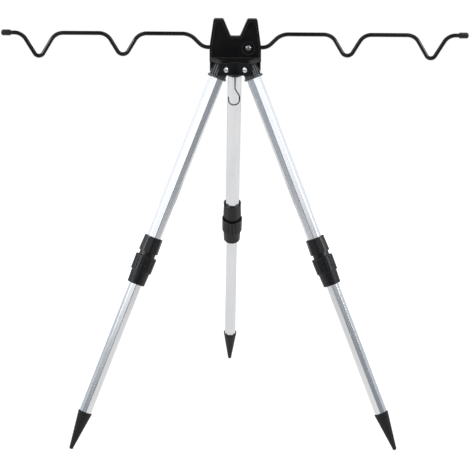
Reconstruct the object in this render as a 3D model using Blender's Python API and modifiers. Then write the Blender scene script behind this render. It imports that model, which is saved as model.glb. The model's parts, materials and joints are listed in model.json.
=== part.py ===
"""Rod tripod: a plastic head with a V notch, two fold-down wire arms and three telescopic legs.

Lengths are metres and +Z is up. The origin is on the ground, at the middle of the object's box.
Head sizes are counted from the level of the leg hinges, on the tripod's upright axis.
Leg sizes are counted from the leg's own hinge, down along the leg.
"""

from math import atan2, cos, pi, radians, sin, sqrt, tan

import bmesh
import bpy
from mathutils import Matrix, Vector

GAP = 0.0003
ARC_STEP = radians(18)
PAST = 0.0200
LAP = 0.0010
MOULD_EDGE = 0.0006

# Legs
LEG_AZIMUTHS = {"left": radians(210), "right": radians(330), "rear": radians(90)}
FRONT_CHEEK = {"left": 1, "right": -1, "rear": 1}
SPLAY = radians(24.7)
PIVOT_RADIUS = 0.0250
LEG_LENGTH = 0.6000
TIP_RADIUS = 0.0020
PIVOT_HEIGHT = LEG_LENGTH * cos(SPLAY) + TIP_RADIUS
FOOT_CIRCLE_RADIUS = PIVOT_RADIUS + LEG_LENGTH * sin(SPLAY)
POINT_RADIUS = 0.0030
POINT_CENTRE = LEG_LENGTH - (POINT_RADIUS - TIP_RADIUS) / cos(SPLAY)
AXIS_Y = -FOOT_CIRCLE_RADIUS / 4

# Tubes: sizes across flats, with flats that face outwards and along the hinge
TUBE_SIDES = 8
UPPER_TUBE_FLATS = 0.0202
LOWER_TUBE_FLATS = 0.0172
TUBE_WALL = 0.0012
TUBE_CORNER = 0.0016
UPPER_TUBE_END = 0.2875
LOWER_TUBE_TOP = 0.2500
SPIKE_TOP = 0.5428
SPIKE_RADIUS = 0.0105
SPIKE_RIM = 0.0005
SPIKE_PLUG = 0.0150
PLUG_HEAD = 0.0040
PLUG_STEM = 0.0120

# Fitting on top of each leg
FITTING_HALF_WIDTH = 0.0100
FITTING_FACE = 0.0082
FITTING_NOSE = 0.00845
FLANGE_RADIUS = 0.0140
FLANGE_EDGE = 0.0004
FLANGE_TOP = 0.01225
FLANGE_BOTTOM = 0.01575
SPIGOT_END = 0.0410
SPIGOT_FLATS = 0.0172
SPIGOT_CHAMFER = 0.0010
RIB_GROOVE_WIDTH = 0.0030
RIB_GROOVE_DEPTH = 0.0012
RIB_GROOVE_SPACING = 0.0062

# Twist lock in the middle of each leg
SLEEVE_TOP = 0.2660
SLEEVE_BOTTOM = 0.2895
SLEEVE_TOP_FLATS = 0.0268
SLEEVE_FOOT_FLATS = 0.0283
SLEEVE_CORNER = 0.0010
COLLAR_RADIUS = 0.0121
NECK_RADIUS = 0.0105
NECK_END = 0.3160
NUT_TOP = 0.2960
NUT_STEP = 0.3198
NUT_BOTTOM = 0.3395
NUT_TOP_RADIUS = 0.0159
NUT_STEP_RADIUS = 0.0156
NUT_CONE_RADIUS = 0.0138
NUT_END_RADIUS = 0.0130
NUT_MOUTH_RADIUS = 0.0097
NUT_EDGE = 0.0006
COLLET_END = 0.3310
COLLET_SLIT = 0.0014
NUT_RIBS = 16
NUT_GROOVE_WIDTH = 0.0015
NUT_GROOVE_DEPTH = 0.0009
NUT_GROOVE_MARGIN = 0.0018
SLIDING_FIT = 0.0006

# Hub under the head
HUB_TOP = 0.0100
LOBE_HALF_WIDTH = 0.0150
LOBE_NOSE = 0.0063
LOBE_END = 0.0100
LOBE_TOP = 0.0098
LOBE_CORNER = 0.0012
VALLEY_RADIUS = 0.0020
LEG_SLOT_HALF_WIDTH = 0.0103
LEG_SLOT_CEILING = 0.0085
LEG_SLOT_BACK = 0.0095
CORE_BOTTOM = 0.0090
BOSS_RADIUS = 0.0092
BOSS_RIM_RADIUS = 0.0060
BOSS_SHOULDER = 0.0100
BOSS_BOTTOM = 0.0140
SWIVEL_BORE_RADIUS = 0.0025
SWIVEL_BORE_TOP = -0.0075
SLAB_FRONT_Y = -0.0080
SLAB_OVERHANG = 0.0006
SLAB_CORNER = 0.0020
SLAB_THICKNESS = 0.0014
GUSSET_TOP = 0.0150
GUSSET_INNER_X = 0.0210
TONGUE_HALF_WIDTH = 0.0085
TONGUE_TOP = 0.0380

# Head plate
PLATE_HALF_WIDTH = 0.0378
PLATE_BOTTOM = HUB_TOP + GAP
PLATE_FOOT_CORNER = 0.0010
SIDE_BEND_Z = 0.0290
SIDE_BEND_RADIUS = 0.0300
HORN_CORNER = 0.0030
HORN_TOP = 0.0698
HORN_OUTER_X = 0.0320
NOTCH_TOP_X = 0.0177
NOTCH_FLOOR_X = 0.0068
NOTCH_FLOOR_Z = 0.0442
PLATE_FRONT_Y = -0.0010
ARM_PLANE_Y = 0.0063
PLATE_BACK_Y = 2 * ARM_PLANE_Y - PLATE_FRONT_Y
RIM_WIDTH = 0.0030
FIELD_DEPTH = 0.0008
SHELL_EDGE = 0.0007
DISH_RADIUS = 0.0095
DISH_DEPTH = 0.0008
FRONT_SEAT_DEPTH = 0.0018
BACK_SEAT_DEPTH = 0.0026
SHELL_SEAT_DEPTH = 0.0022
SCREW_SKIN = 0.0014

# Arms
WIRE_RADIUS = 0.0030
ARM_PIVOT_X = 0.0191
ARM_PIVOT_Z = 0.0277
ARM_RUN_Z = 0.0475
JOG_BEND_X = 0.0473
JOG_LOW_BEND = 0.0190
JOG_HIGH_BEND = 0.0260
TOP_BEND_RADIUS = 0.0200
REST_LIMB_ANGLE = radians(59)
# Each rest's place along the arm, its lowest level and its bend radius
RESTS = ((0.1651, 0.0165, 0.0090), (0.2883, 0.0133, 0.0073))
ARM_END_X = 0.3432
CAP_RADIUS = 0.0044
CAP_LENGTH = 0.0140
CAP_MOUTH = 0.0006
EYE_RADIUS = 0.0070
EYE_THICKNESS = 0.0052
EYE_EDGE = 0.0008
EYE_ROOM = 0.0006
ARM_SLOT_WIDTH = 0.0068
ARM_SLOT_SIDE = 0.0034
CAP_HOLLOW = 0.0022

# Screws
HINGE_SHANK_RADIUS = 0.0020
HINGE_HEAD_RADIUS = 0.0040
HINGE_HEAD_HEIGHT = 0.0026
HINGE_NUT_FLATS = 0.0070
HINGE_NUT_THICKNESS = 0.0024
NUT_POCKET_FLATS = 0.0076
NUT_POCKET_FLOOR = 0.0126
ARM_SCREW_HEAD = 0.0024
ARM_SCREW_LENGTH = 0.0095
ARM_SEAT_RADIUS = 0.0046
SCREW_CHAMFER = 0.0006
SHELL_SHANK_RADIUS = 0.0015
SHELL_HEAD_RADIUS = 0.0028
SHELL_HEAD_HEIGHT = 0.0018
SHELL_SCREW_PLACES = [(-0.0245, 0.0580), (0.0245, 0.0580), (0.0, 0.0320), (0.0, 0.0180)]
SCREW_CLEARANCE = 0.0003

# Hook under the hub
HOOK_RADIUS = 0.0011
HOOK_TOP = -0.0099
BUTTON_RADIUS = 0.0019
BUTTON_HALF = 0.0006
EYELET_RADIUS = 0.0022
EYELET_FLANGE_RADIUS = 0.0028
EYELET_FLANGE = 0.0009
EYELET_LIP = 0.0010
HOOK_CORNERS = [
    (0.0, HOOK_TOP, 0.0),
    (0.0, -0.0330, 0.0040),
    (0.0068, -0.0435, 0.0050),
    (0.0068, -0.0570, 0.0076),
    (-0.0083, -0.0570, 0.0070),
    (-0.0098, -0.0450, 0.0),
]


def clear_scene():
    for old in list(bpy.data.objects):
        bpy.data.objects.remove(old, do_unlink=True)


clear_scene()
PARTS = bpy.data.collections.new("rod_tripod")
CUTTERS = bpy.data.collections.new("cutters")
for collection in (PARTS, CUTTERS):
    bpy.context.scene.collection.children.link(collection)


def material(name, colour, roughness, metallic):
    made = bpy.data.materials.new(name)
    made.use_nodes = True
    made.diffuse_color = (*colour, 1.0)
    surface = made.node_tree.nodes["Principled BSDF"]
    surface.inputs["Base Color"].default_value = (*colour, 1.0)
    surface.inputs["Roughness"].default_value = roughness
    surface.inputs["Metallic"].default_value = metallic
    return made


BLACK_ABS = material("black_abs", (0.012, 0.012, 0.013), 0.38, 0.0)
BLACK_NYLON = material("black_nylon", (0.020, 0.020, 0.022), 0.45, 0.0)
FITTING_NYLON = material("fitting_nylon", (0.016, 0.016, 0.018), 0.40, 0.0)
SPIKE_PLASTIC = material("spike_plastic", (0.022, 0.022, 0.023), 0.50, 0.0)
BRIGHT_ALUMINIUM = material("bright_aluminium", (0.86, 0.87, 0.89), 0.28, 1.0)
CHROMED_STEEL = material("chromed_steel", (0.78, 0.78, 0.79), 0.15, 1.0)
COATED_WIRE = material("coated_wire", (0.010, 0.010, 0.011), 0.30, 0.0)
CAP_RUBBER = material("cap_rubber", (0.018, 0.018, 0.019), 0.55, 0.0)
HOOK_STEEL = material("hook_steel", (0.34, 0.35, 0.37), 0.30, 1.0)
COLLET_NYLON = material("collet_nylon", (0.60, 0.60, 0.58), 0.50, 0.0)


def shading_group():
    """A node group that shades smooth, and sharp where faces meet at more than 35 degrees."""
    group = bpy.data.node_groups.new("smooth_by_angle", "GeometryNodeTree")
    group.interface.new_socket("Geometry", in_out="INPUT", socket_type="NodeSocketGeometry")
    group.interface.new_socket("Geometry", in_out="OUTPUT", socket_type="NodeSocketGeometry")
    mesh_in = group.nodes.new("NodeGroupInput")
    mesh_out = group.nodes.new("NodeGroupOutput")
    faces = group.nodes.new("GeometryNodeSetShadeSmooth")
    edges = group.nodes.new("GeometryNodeSetShadeSmooth")
    edges.domain = "EDGE"
    angle = group.nodes.new("GeometryNodeInputMeshEdgeAngle")
    gentle = group.nodes.new("FunctionNodeCompare")
    gentle.operation = "LESS_THAN"
    gentle.inputs["B"].default_value = radians(35)
    link = group.links.new
    link(angle.outputs["Unsigned Angle"], gentle.inputs["A"])
    link(gentle.outputs["Result"], edges.inputs["Shade Smooth"])
    link(mesh_in.outputs[0], faces.inputs["Geometry"])
    link(faces.outputs[0], edges.inputs["Geometry"])
    link(edges.outputs[0], mesh_out.inputs[0])
    return group


SHADING = shading_group()


def frame(name, parent=None, location=(0, 0, 0), rotation=(0, 0, 0)):
    """An empty that carries the pieces of one place or one moving group."""
    empty = bpy.data.objects.new(name, None)
    PARTS.objects.link(empty)
    empty.parent = parent
    empty.location = location
    empty.rotation_euler = rotation
    empty.empty_display_size = 0.01
    return empty


def place(obj, parent, location, rotation):
    obj.parent = parent
    obj.location = location
    obj.rotation_euler = rotation


def part(obj, finish, parent, location=(0, 0, 0), rotation=(0, 0, 0)):
    """Put a finished piece into the model, with its material and its shading."""
    PARTS.objects.link(obj)
    place(obj, parent, location, rotation)
    obj.data.materials.append(finish)
    shade = obj.modifiers.new("shade", "NODES")
    shade.node_group = SHADING
    return obj


def cutter(obj, parent, location=(0, 0, 0), rotation=(0, 0, 0)):
    """Put a shape that only cuts, or is joined to, a piece among the hidden ones."""
    CUTTERS.objects.link(obj)
    place(obj, parent, location, rotation)
    obj.hide_render = True
    obj.display_type = "WIRE"
    return obj


def combine(obj, other, operation):
    boolean = obj.modifiers.new(operation.lower() + "_" + other.name, "BOOLEAN")
    boolean.operation = operation
    boolean.solver = "EXACT"
    boolean.object = other


def join(obj, *others):
    for other in others:
        combine(obj, other, "UNION")


def cut(obj, *others):
    for other in others:
        combine(obj, other, "DIFFERENCE")


def soften(obj, width, segments=1, angle=40):
    bevel = obj.modifiers.new("soften", "BEVEL")
    bevel.width = width
    bevel.segments = segments
    bevel.limit_method = "ANGLE"
    bevel.angle_limit = radians(angle)


def mesh_object(name, bm):
    mesh = bpy.data.meshes.new(name)
    bmesh.ops.recalc_face_normals(bm, faces=bm.faces)
    bm.to_mesh(mesh)
    bm.free()
    return bpy.data.objects.new(name, mesh)


def box(name, low, high):
    """A box between two corners."""
    low = Vector(low)
    high = Vector(high)
    bm = bmesh.new()
    matrix = Matrix.Translation((low + high) / 2) @ Matrix.Diagonal((*(high - low), 1))
    bmesh.ops.create_cube(bm, size=1, matrix=matrix)
    return mesh_object(name, bm)


def turned(name, profile, steps, start=0.0, ring=False):
    """A shape turned about Z; its profile of (radius, height) runs down the outer side."""
    mesh = bpy.data.meshes.new(name)
    points = [(radius * cos(start), radius * sin(start), z) for radius, z in profile]
    edges = [(i, i + 1) for i in range(len(points) - 1)]
    if ring:
        edges.append((len(points) - 1, 0))
    mesh.from_pydata(points, edges, [])
    obj = bpy.data.objects.new(name, mesh)
    screw = obj.modifiers.new("turn", "SCREW")
    screw.axis = "Z"
    screw.angle = 2 * pi
    screw.steps = steps
    screw.render_steps = steps
    screw.use_merge_vertices = True
    screw.merge_threshold = 0.00001
    return obj


def faceted(name, profile, sides=TUBE_SIDES):
    """A shape with flat sides about Z; its profile gives half its size across flats at each height."""
    corners = [(half_flats / cos(pi / sides), z) for half_flats, z in profile]
    return turned(name, corners, sides, start=pi / sides)


def plug_profile(half, high, low):
    return [(0, high), (half, high), (half, low), (0, low)]


def rod(name, radius, low, high, steps=12):
    return turned(name, plug_profile(radius, high, low), steps)


def arc(centre, radius, start, end, steps):
    """Points on a circle from one angle to another, both ends included."""
    angles = [start + (end - start) * k / steps for k in range(steps + 1)]
    return [(centre[0] + radius * cos(a), centre[1] + radius * sin(a)) for a in angles]


def rounded(corners, closed=True, step=ARC_STEP):
    """The outline through corners (x, y, radius), with an arc at each corner that has a radius."""
    points = []
    last = len(corners) - 1
    for i, (x, y, radius) in enumerate(corners):
        if radius == 0 or (not closed and i in (0, last)):
            points.append((x, y))
            continue
        here = Vector((x, y))
        back = (Vector(corners[i - 1][:2]) - here).normalized()
        onward = (Vector(corners[(i + 1) % (last + 1)][:2]) - here).normalized()
        half = back.angle(onward) / 2
        centre = here + (back + onward).normalized() * radius / sin(half)
        spoke = here + back * radius / tan(half) - centre
        start = atan2(spoke.y, spoke.x)
        turn = pi - 2 * half
        if back.cross(onward) > 0:
            turn = -turn
        steps = max(1, round(abs(turn) / step))
        points.extend(arc(centre, radius, start, start + turn, steps))
    return points


def inset(corners, distance):
    """Corners of the same outline moved inwards; the outline runs anticlockwise."""
    moved = []
    for i, (x, y, radius) in enumerate(corners):
        here = Vector((x, y))
        into = (here - Vector(corners[i - 1][:2])).normalized()
        out = (Vector(corners[(i + 1) % len(corners)][:2]) - here).normalized()
        left_in = Vector((-into.y, into.x))
        left_out = Vector((-out.y, out.x))
        corner = here + (left_in + left_out) * distance / (1 + left_in.dot(left_out))
        convex = into.cross(out) > 0
        new_radius = max(radius - distance, 0.0008) if convex else radius + distance
        moved.append((corner.x, corner.y, new_radius))
    return moved


def as_mesh(curve_object):
    """The curve as a mesh object of the same name, with its caps welded on."""
    bpy.context.scene.collection.objects.link(curve_object)
    graph = bpy.context.evaluated_depsgraph_get()
    mesh = bpy.data.meshes.new_from_object(curve_object.evaluated_get(graph))
    bm = bmesh.new()
    bm.from_mesh(mesh)
    bmesh.ops.remove_doubles(bm, verts=bm.verts, dist=0.00001)
    bmesh.ops.recalc_face_normals(bm, faces=bm.faces)
    bm.to_mesh(mesh)
    bm.free()
    name = curve_object.name
    made = bpy.data.objects.new("mesh", mesh)
    made.matrix_world = curve_object.matrix_world
    bpy.data.objects.remove(curve_object)
    made.name = name
    mesh.name = name
    return made


def flat(name, outline, thickness, hole=None):
    """A flat outline in its own XY plane, thickened equally to both sides."""
    curve = bpy.data.curves.new(name, "CURVE")
    curve.dimensions = "2D"
    curve.fill_mode = "BOTH"
    curve.extrude = thickness / 2
    for points in [outline] + ([hole] if hole else []):
        spline = curve.splines.new("POLY")
        spline.points.add(len(points) - 1)
        for point, (x, y) in zip(spline.points, points):
            point.co = (x, y, 0, 1)
        spline.use_cyclic_u = True
    return as_mesh(bpy.data.objects.new(name, curve))


def wire(name, path, radius):
    """A round wire along a path of (x, z) points, with closed ends."""
    curve = bpy.data.curves.new(name, "CURVE")
    curve.dimensions = "3D"
    curve.bevel_depth = radius
    curve.bevel_resolution = 2
    curve.use_fill_caps = True
    spline = curve.splines.new("POLY")
    spline.points.add(len(path) - 1)
    for point, (x, z) in zip(spline.points, path):
        point.co = (x, 0, z, 1)
    return as_mesh(bpy.data.objects.new(name, curve))


def polygon(flats, corner_radius, sides=TUBE_SIDES):
    """Corners of a regular outline with a flat towards +X."""
    reach = flats / 2 / cos(pi / sides)
    angles = [pi * (2 * k + 1) / sides for k in range(sides)]
    return [(reach * cos(a), reach * sin(a), corner_radius) for a in angles]


TO_FRONT = (radians(90), 0, 0)
TO_BACK = (radians(-90), 0, 0)


def frames():
    """The empties that hold the head, the hinges, the legs and the arms."""
    made = {"head": frame("head_frame", None, (0, AXIS_Y, PIVOT_HEIGHT))}
    for side, azimuth in LEG_AZIMUTHS.items():
        out = (PIVOT_RADIUS * cos(azimuth), PIVOT_RADIUS * sin(azimuth), 0)
        hinge = frame("hinge_frame_" + side, made["head"], out, (0, 0, azimuth))
        made["hinge_" + side] = hinge
        made["leg_" + side] = frame("leg_frame_" + side, hinge, rotation=(0, -SPLAY, 0))
    for side, sign, turn in (("left", -1, pi), ("right", 1, 0)):
        pivot = (sign * ARM_PIVOT_X, ARM_PLANE_Y, ARM_PIVOT_Z)
        made["arm_" + side] = frame("arm_frame_" + side, made["head"], pivot, (0, 0, turn))
    return made


def plate_corners():
    """The head plate's outline, anticlockwise from its lower left corner."""
    right = [
        (PLATE_HALF_WIDTH, PLATE_BOTTOM, PLATE_FOOT_CORNER),
        (PLATE_HALF_WIDTH, SIDE_BEND_Z, SIDE_BEND_RADIUS),
        (HORN_OUTER_X, HORN_TOP, HORN_CORNER),
        (NOTCH_TOP_X, HORN_TOP, HORN_CORNER),
        (NOTCH_FLOOR_X, NOTCH_FLOOR_Z, HORN_CORNER),
    ]
    left = [(-x, z, radius) for x, z, radius in reversed(right)]
    return right + left


def arm_pocket(name, parent, side, sign):
    """The room inside the head where an arm's eye turns and its wire swings down."""
    room = EYE_RADIUS + EYE_ROOM
    top = WIRE_RADIUS + GAP
    first = atan2(top, sqrt(room ** 2 - top ** 2))
    final = pi + atan2(sqrt(room ** 2 - ARM_SLOT_SIDE ** 2), ARM_SLOT_SIDE)
    far = PLATE_HALF_WIDTH - ARM_PIVOT_X + LAP
    low = PLATE_BOTTOM - ARM_PIVOT_Z - LAP
    outline = [(-ARM_SLOT_SIDE, low), (far, low), (far, top)]
    outline += arc((0, 0), room, first, final, 9)
    mirrored = [(sign * x, z) for x, z in outline]
    shape = flat(name + side, mirrored, ARM_SLOT_WIDTH)
    return cutter(shape, parent, (sign * ARM_PIVOT_X, ARM_PLANE_Y, ARM_PIVOT_Z), TO_FRONT)


def shell_cuts(prefix, head):
    """The cutters that both halves of the head share: arm pockets and the tongue's pocket."""
    pockets = [arm_pocket(prefix + "_pocket_", head, "left", -1)]
    pockets.append(arm_pocket(prefix + "_pocket_", head, "right", 1))
    half = TONGUE_HALF_WIDTH + GAP
    near = ARM_PLANE_Y - ARM_SLOT_WIDTH / 2 - GAP
    far = ARM_PLANE_Y + ARM_SLOT_WIDTH / 2 + GAP
    pocket = box(prefix + "_tongue_pocket", (-half, near, 0), (half, far, TONGUE_TOP + GAP))
    pockets.append(cutter(pocket, head))
    return pockets


def bore(name, parent, spot, radius, near=-PAST, far=PAST, steps=12):
    """A round cutter along Y, through the whole head or between two depths."""
    shape = rod(name, radius, near, far, steps)
    return cutter(shape, parent, (spot[0], 0, spot[1]), TO_BACK)


def head_front(head):
    """The front half of the head: rimmed face, screw bosses and half of the arm slots."""
    depth = ARM_PLANE_Y - GAP / 2 - PLATE_FRONT_Y
    shell = flat("head_front", rounded(plate_corners()), depth)
    soften(shell, SHELL_EDGE)
    field = flat("face_field", rounded(inset(plate_corners(), RIM_WIDTH)), 2 * FIELD_DEPTH)
    cut(shell, cutter(field, head, (0, PLATE_FRONT_Y, 0), TO_FRONT))
    cut(shell, *shell_cuts("front", head))
    floor = PLATE_FRONT_Y + FIELD_DEPTH
    for i, spot in enumerate(SHELL_SCREW_PLACES):
        hole = SHELL_SHANK_RADIUS + SCREW_CLEARANCE
        cut(shell, bore(f"front_screw_hole_{i + 1}", head, spot, hole, near=floor + SCREW_SKIN))
    hole = HINGE_SHANK_RADIUS + SCREW_CLEARANCE
    left, right = (-ARM_PIVOT_X, ARM_PIVOT_Z), (ARM_PIVOT_X, ARM_PIVOT_Z)
    cut(shell, bore("front_dish", head, right, DISH_RADIUS, far=floor + DISH_DEPTH, steps=24))
    cut(shell, bore("front_head_seat", head, right, ARM_SEAT_RADIUS, far=floor + FRONT_SEAT_DEPTH, steps=16))
    cut(shell, bore("front_arm_hole_right", head, right, hole))
    cut(shell, bore("front_arm_hole_left", head, left, hole, near=floor + SCREW_SKIN))
    middle = PLATE_FRONT_Y + depth / 2
    return part(shell, BLACK_ABS, head, (0, middle, 0), TO_FRONT)


def head_back(head):
    """The back half of the head, with the seats of the shell screws."""
    depth = PLATE_BACK_Y - ARM_PLANE_Y - GAP / 2
    shell = flat("head_back", rounded(plate_corners()), depth)
    soften(shell, SHELL_EDGE)
    cut(shell, *shell_cuts("back", head))
    for i, spot in enumerate(SHELL_SCREW_PLACES):
        hole = SHELL_SHANK_RADIUS + SCREW_CLEARANCE
        seat = SHELL_HEAD_RADIUS + SCREW_CLEARANCE
        cut(shell, bore(f"back_screw_hole_{i + 1}", head, spot, hole))
        near = PLATE_BACK_Y - SHELL_SEAT_DEPTH
        cut(shell, bore(f"back_screw_seat_{i + 1}", head, spot, seat, near=near))
    hole = HINGE_SHANK_RADIUS + SCREW_CLEARANCE
    left, right = (-ARM_PIVOT_X, ARM_PIVOT_Z), (ARM_PIVOT_X, ARM_PIVOT_Z)
    near = PLATE_BACK_Y - BACK_SEAT_DEPTH
    cut(shell, bore("back_head_seat", head, left, ARM_SEAT_RADIUS, near=near, steps=16))
    cut(shell, bore("back_arm_hole_left", head, left, hole))
    cut(shell, bore("back_arm_hole_right", head, right, hole, far=PLATE_BACK_Y - SCREW_SKIN))
    middle = PLATE_BACK_Y - depth / 2
    return part(shell, BLACK_ABS, head, (0, middle, 0), TO_FRONT)


def pan_screw(name, head_radius, head_height, shank_radius, length, steps=14):
    """A pan head screw about Z: the head stands on z = 0 and the shank goes down."""
    crown = head_height * 0.45
    profile = [
        (0, head_height),
        (head_radius * 0.55, head_height * 0.94),
        (head_radius * 0.86, head_height * 0.74),
        (head_radius, crown),
        (head_radius, 0),
        (shank_radius, 0),
        (shank_radius, -length + SCREW_CHAMFER),
        (shank_radius - SCREW_CHAMFER, -length),
        (0, -length),
    ]
    return turned(name, profile, steps)


def head_screws(head):
    """The four shell screws from the back and the two screws that the arms turn on."""
    seat = PLATE_BACK_Y - SHELL_SEAT_DEPTH + GAP
    length = seat - PLATE_FRONT_Y - FIELD_DEPTH - SCREW_SKIN - GAP
    for i, (x, z) in enumerate(SHELL_SCREW_PLACES):
        screw = pan_screw(f"shell_screw_{i + 1}", SHELL_HEAD_RADIUS, SHELL_HEAD_HEIGHT,
                          SHELL_SHANK_RADIUS, length, 12)
        part(screw, CHROMED_STEEL, head, (x, seat, z), TO_BACK)
    front_seat = PLATE_FRONT_Y + FIELD_DEPTH + FRONT_SEAT_DEPTH - GAP
    back_seat = PLATE_BACK_Y - BACK_SEAT_DEPTH + GAP
    for side, sign, seat, turn in (("left", -1, back_seat, TO_BACK), ("right", 1, front_seat, TO_FRONT)):
        screw = pan_screw("arm_screw_" + side, HINGE_HEAD_RADIUS, ARM_SCREW_HEAD,
                          HINGE_SHANK_RADIUS, ARM_SCREW_LENGTH)
        part(screw, CHROMED_STEEL, head, (sign * ARM_PIVOT_X, seat, ARM_PIVOT_Z), turn)


def lobed_corners():
    """The hub's plan, anticlockwise: three blocks that meet in rounded valleys."""
    corners = []
    for azimuth in sorted(LEG_AZIMUTHS.values()):
        turn = Matrix.Rotation(azimuth, 2)
        nose = PIVOT_RADIUS + LOBE_END
        for across in (-LOBE_HALF_WIDTH, LOBE_HALF_WIDTH):
            corner = turn @ Vector((nose, across))
            corners.append((corner.x, corner.y, LOBE_CORNER))
        valley = Matrix.Rotation(azimuth + radians(60), 2) @ Vector((LOBE_HALF_WIDTH / sin(radians(60)), 0))
        corners.append((valley.x, valley.y, VALLEY_RADIUS))
    return corners


def nose_cut(side, hinge):
    """What is trimmed off a block's end so that it is rounded below."""
    below = -CORE_BOTTOM - LAP
    beyond = LOBE_END + LAP
    centre = (LOBE_END - LOBE_NOSE, LOBE_NOSE - CORE_BOTTOM)
    outline = [(centre[0], below), (beyond, below), (beyond, centre[1])]
    outline += arc(centre, LOBE_NOSE, 0, -pi / 2, 5)
    shape = flat("nose_cut_" + side, outline, 3 * LOBE_HALF_WIDTH)
    return cutter(shape, hinge, rotation=TO_FRONT)


def gusset(sign, head):
    """The sloping shoulder that stiffens the plate's foot at one corner."""
    outer = sign * PLATE_HALF_WIDTH
    inner = sign * GUSSET_INNER_X
    behind = PLATE_FRONT_Y - GAP
    root = HUB_TOP - SLAB_THICKNESS / 2
    bm = bmesh.new()
    for corner in ((outer, behind, GUSSET_TOP), (outer, SLAB_FRONT_Y, HUB_TOP), (inner, behind, HUB_TOP),
                   (outer, behind, root), (outer, SLAB_FRONT_Y, root), (inner, behind, root)):
        bm.verts.new(corner)
    bmesh.ops.convex_hull(bm, input=bm.verts)
    return cutter(mesh_object("gusset_" + ("left" if sign < 0 else "right"), bm), head)


def hub_body(head, f):
    """The hub's outer form: boss, three lobes, slab, shoulders and the tongue between the shells."""
    height = LOBE_TOP + CORE_BOTTOM
    hub = flat("hub", rounded(lobed_corners(), step=radians(30)), height)
    hub.data.transform(Matrix.Translation((0, 0, LOBE_TOP - height / 2)))
    soften(hub, MOULD_EDGE)
    cut(hub, *[nose_cut(side, f["hinge_" + side]) for side in LEG_AZIMUTHS])
    low = (-LEG_SLOT_BACK, -LEG_SLOT_HALF_WIDTH, -PAST)
    high = (PAST, LEG_SLOT_HALF_WIDTH, LEG_SLOT_CEILING)
    for side in LEG_AZIMUTHS:
        cut(hub, cutter(box("leg_slot_" + side, low, high), f["hinge_" + side]))
    boss = turned("boss", [
        (0, 0), (BOSS_RADIUS, 0), (BOSS_RADIUS, -BOSS_SHOULDER),
        (BOSS_RIM_RADIUS, -BOSS_BOTTOM), (0, -BOSS_BOTTOM),
    ], 20)
    join(hub, cutter(boss, head))
    back = PLATE_BACK_Y + SLAB_OVERHANG
    wide = PLATE_HALF_WIDTH
    corners = [(-wide, SLAB_FRONT_Y), (wide, SLAB_FRONT_Y), (wide, back), (-wide, back)]
    slab = flat("slab", rounded([(x, y, SLAB_CORNER) for x, y in corners]), SLAB_THICKNESS)
    join(hub, cutter(slab, head, (0, 0, HUB_TOP - SLAB_THICKNESS / 2)))
    join(hub, gusset(-1, head), gusset(1, head))
    near = ARM_PLANE_Y - ARM_SLOT_WIDTH / 2
    far = ARM_PLANE_Y + ARM_SLOT_WIDTH / 2
    tongue = box("tongue", (-TONGUE_HALF_WIDTH, near, 0), (TONGUE_HALF_WIDTH, far, TONGUE_TOP))
    join(hub, cutter(tongue, head))
    return hub


def hub(head, f):
    """The moulded hub that carries the three leg hinges, the head and the hook."""
    body = hub_body(head, f)
    for side in LEG_AZIMUTHS:
        hinge = f["hinge_" + side]
        hole = rod("pin_hole_" + side, HINGE_SHANK_RADIUS + SCREW_CLEARANCE, -PAST, PAST)
        cut(body, cutter(hole, hinge, rotation=TO_BACK))
        profile = plug_profile(NUT_POCKET_FLATS / 2, LOBE_HALF_WIDTH + LAP, NUT_POCKET_FLOOR)
        pocket = faceted("nut_pocket_" + side, profile, sides=6)
        away = TO_BACK if FRONT_CHEEK[side] < 0 else TO_FRONT
        cut(body, cutter(pocket, hinge, rotation=away))
    for side, sign in (("left", -1), ("right", 1)):
        inner = sign * (ARM_PIVOT_X - ARM_SLOT_SIDE)
        outer = sign * (PLATE_HALF_WIDTH + LAP)
        near = ARM_PLANE_Y - ARM_SLOT_WIDTH / 2
        low = (min(inner, outer), near, -PAST)
        high = (max(inner, outer), near + ARM_SLOT_WIDTH, HUB_TOP + LAP)
        cut(body, cutter(box("arm_slot_" + side, low, high), head))
    for i, spot in enumerate(SHELL_SCREW_PLACES[2:]):
        cut(body, bore(f"tongue_hole_{i + 1}", head, spot, SHELL_SHANK_RADIUS + SCREW_CLEARANCE))
    cut(body, cutter(rod("swivel_bore", SWIVEL_BORE_RADIUS, -PAST, SWIVEL_BORE_TOP), head))
    return part(body, BLACK_ABS, head)


def hinge_hardware(side, hinge):
    """The screw that one leg turns on, and its nut sunk in the far cheek."""
    head_side = TO_BACK if FRONT_CHEEK[side] > 0 else TO_FRONT
    nut_side = TO_FRONT if FRONT_CHEEK[side] > 0 else TO_BACK
    seat = LOBE_HALF_WIDTH + GAP
    screw = pan_screw("hinge_screw_" + side, HINGE_HEAD_RADIUS, HINGE_HEAD_HEIGHT,
                      HINGE_SHANK_RADIUS, 2 * LOBE_HALF_WIDTH + GAP)
    part(screw, CHROMED_STEEL, hinge, (0, FRONT_CHEEK[side] * seat, 0), head_side)
    bore_radius = HINGE_SHANK_RADIUS + SCREW_CLEARANCE
    nut = flat("hinge_nut_" + side, rounded(polygon(HINGE_NUT_FLATS, 0, sides=6)), HINGE_NUT_THICKNESS,
               arc((0, 0), bore_radius, 0, 2 * pi * 11 / 12, 11))
    middle = NUT_POCKET_FLOOR + GAP + HINGE_NUT_THICKNESS / 2
    part(nut, CHROMED_STEEL, hinge, (0, -FRONT_CHEEK[side] * middle, 0), nut_side)


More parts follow.
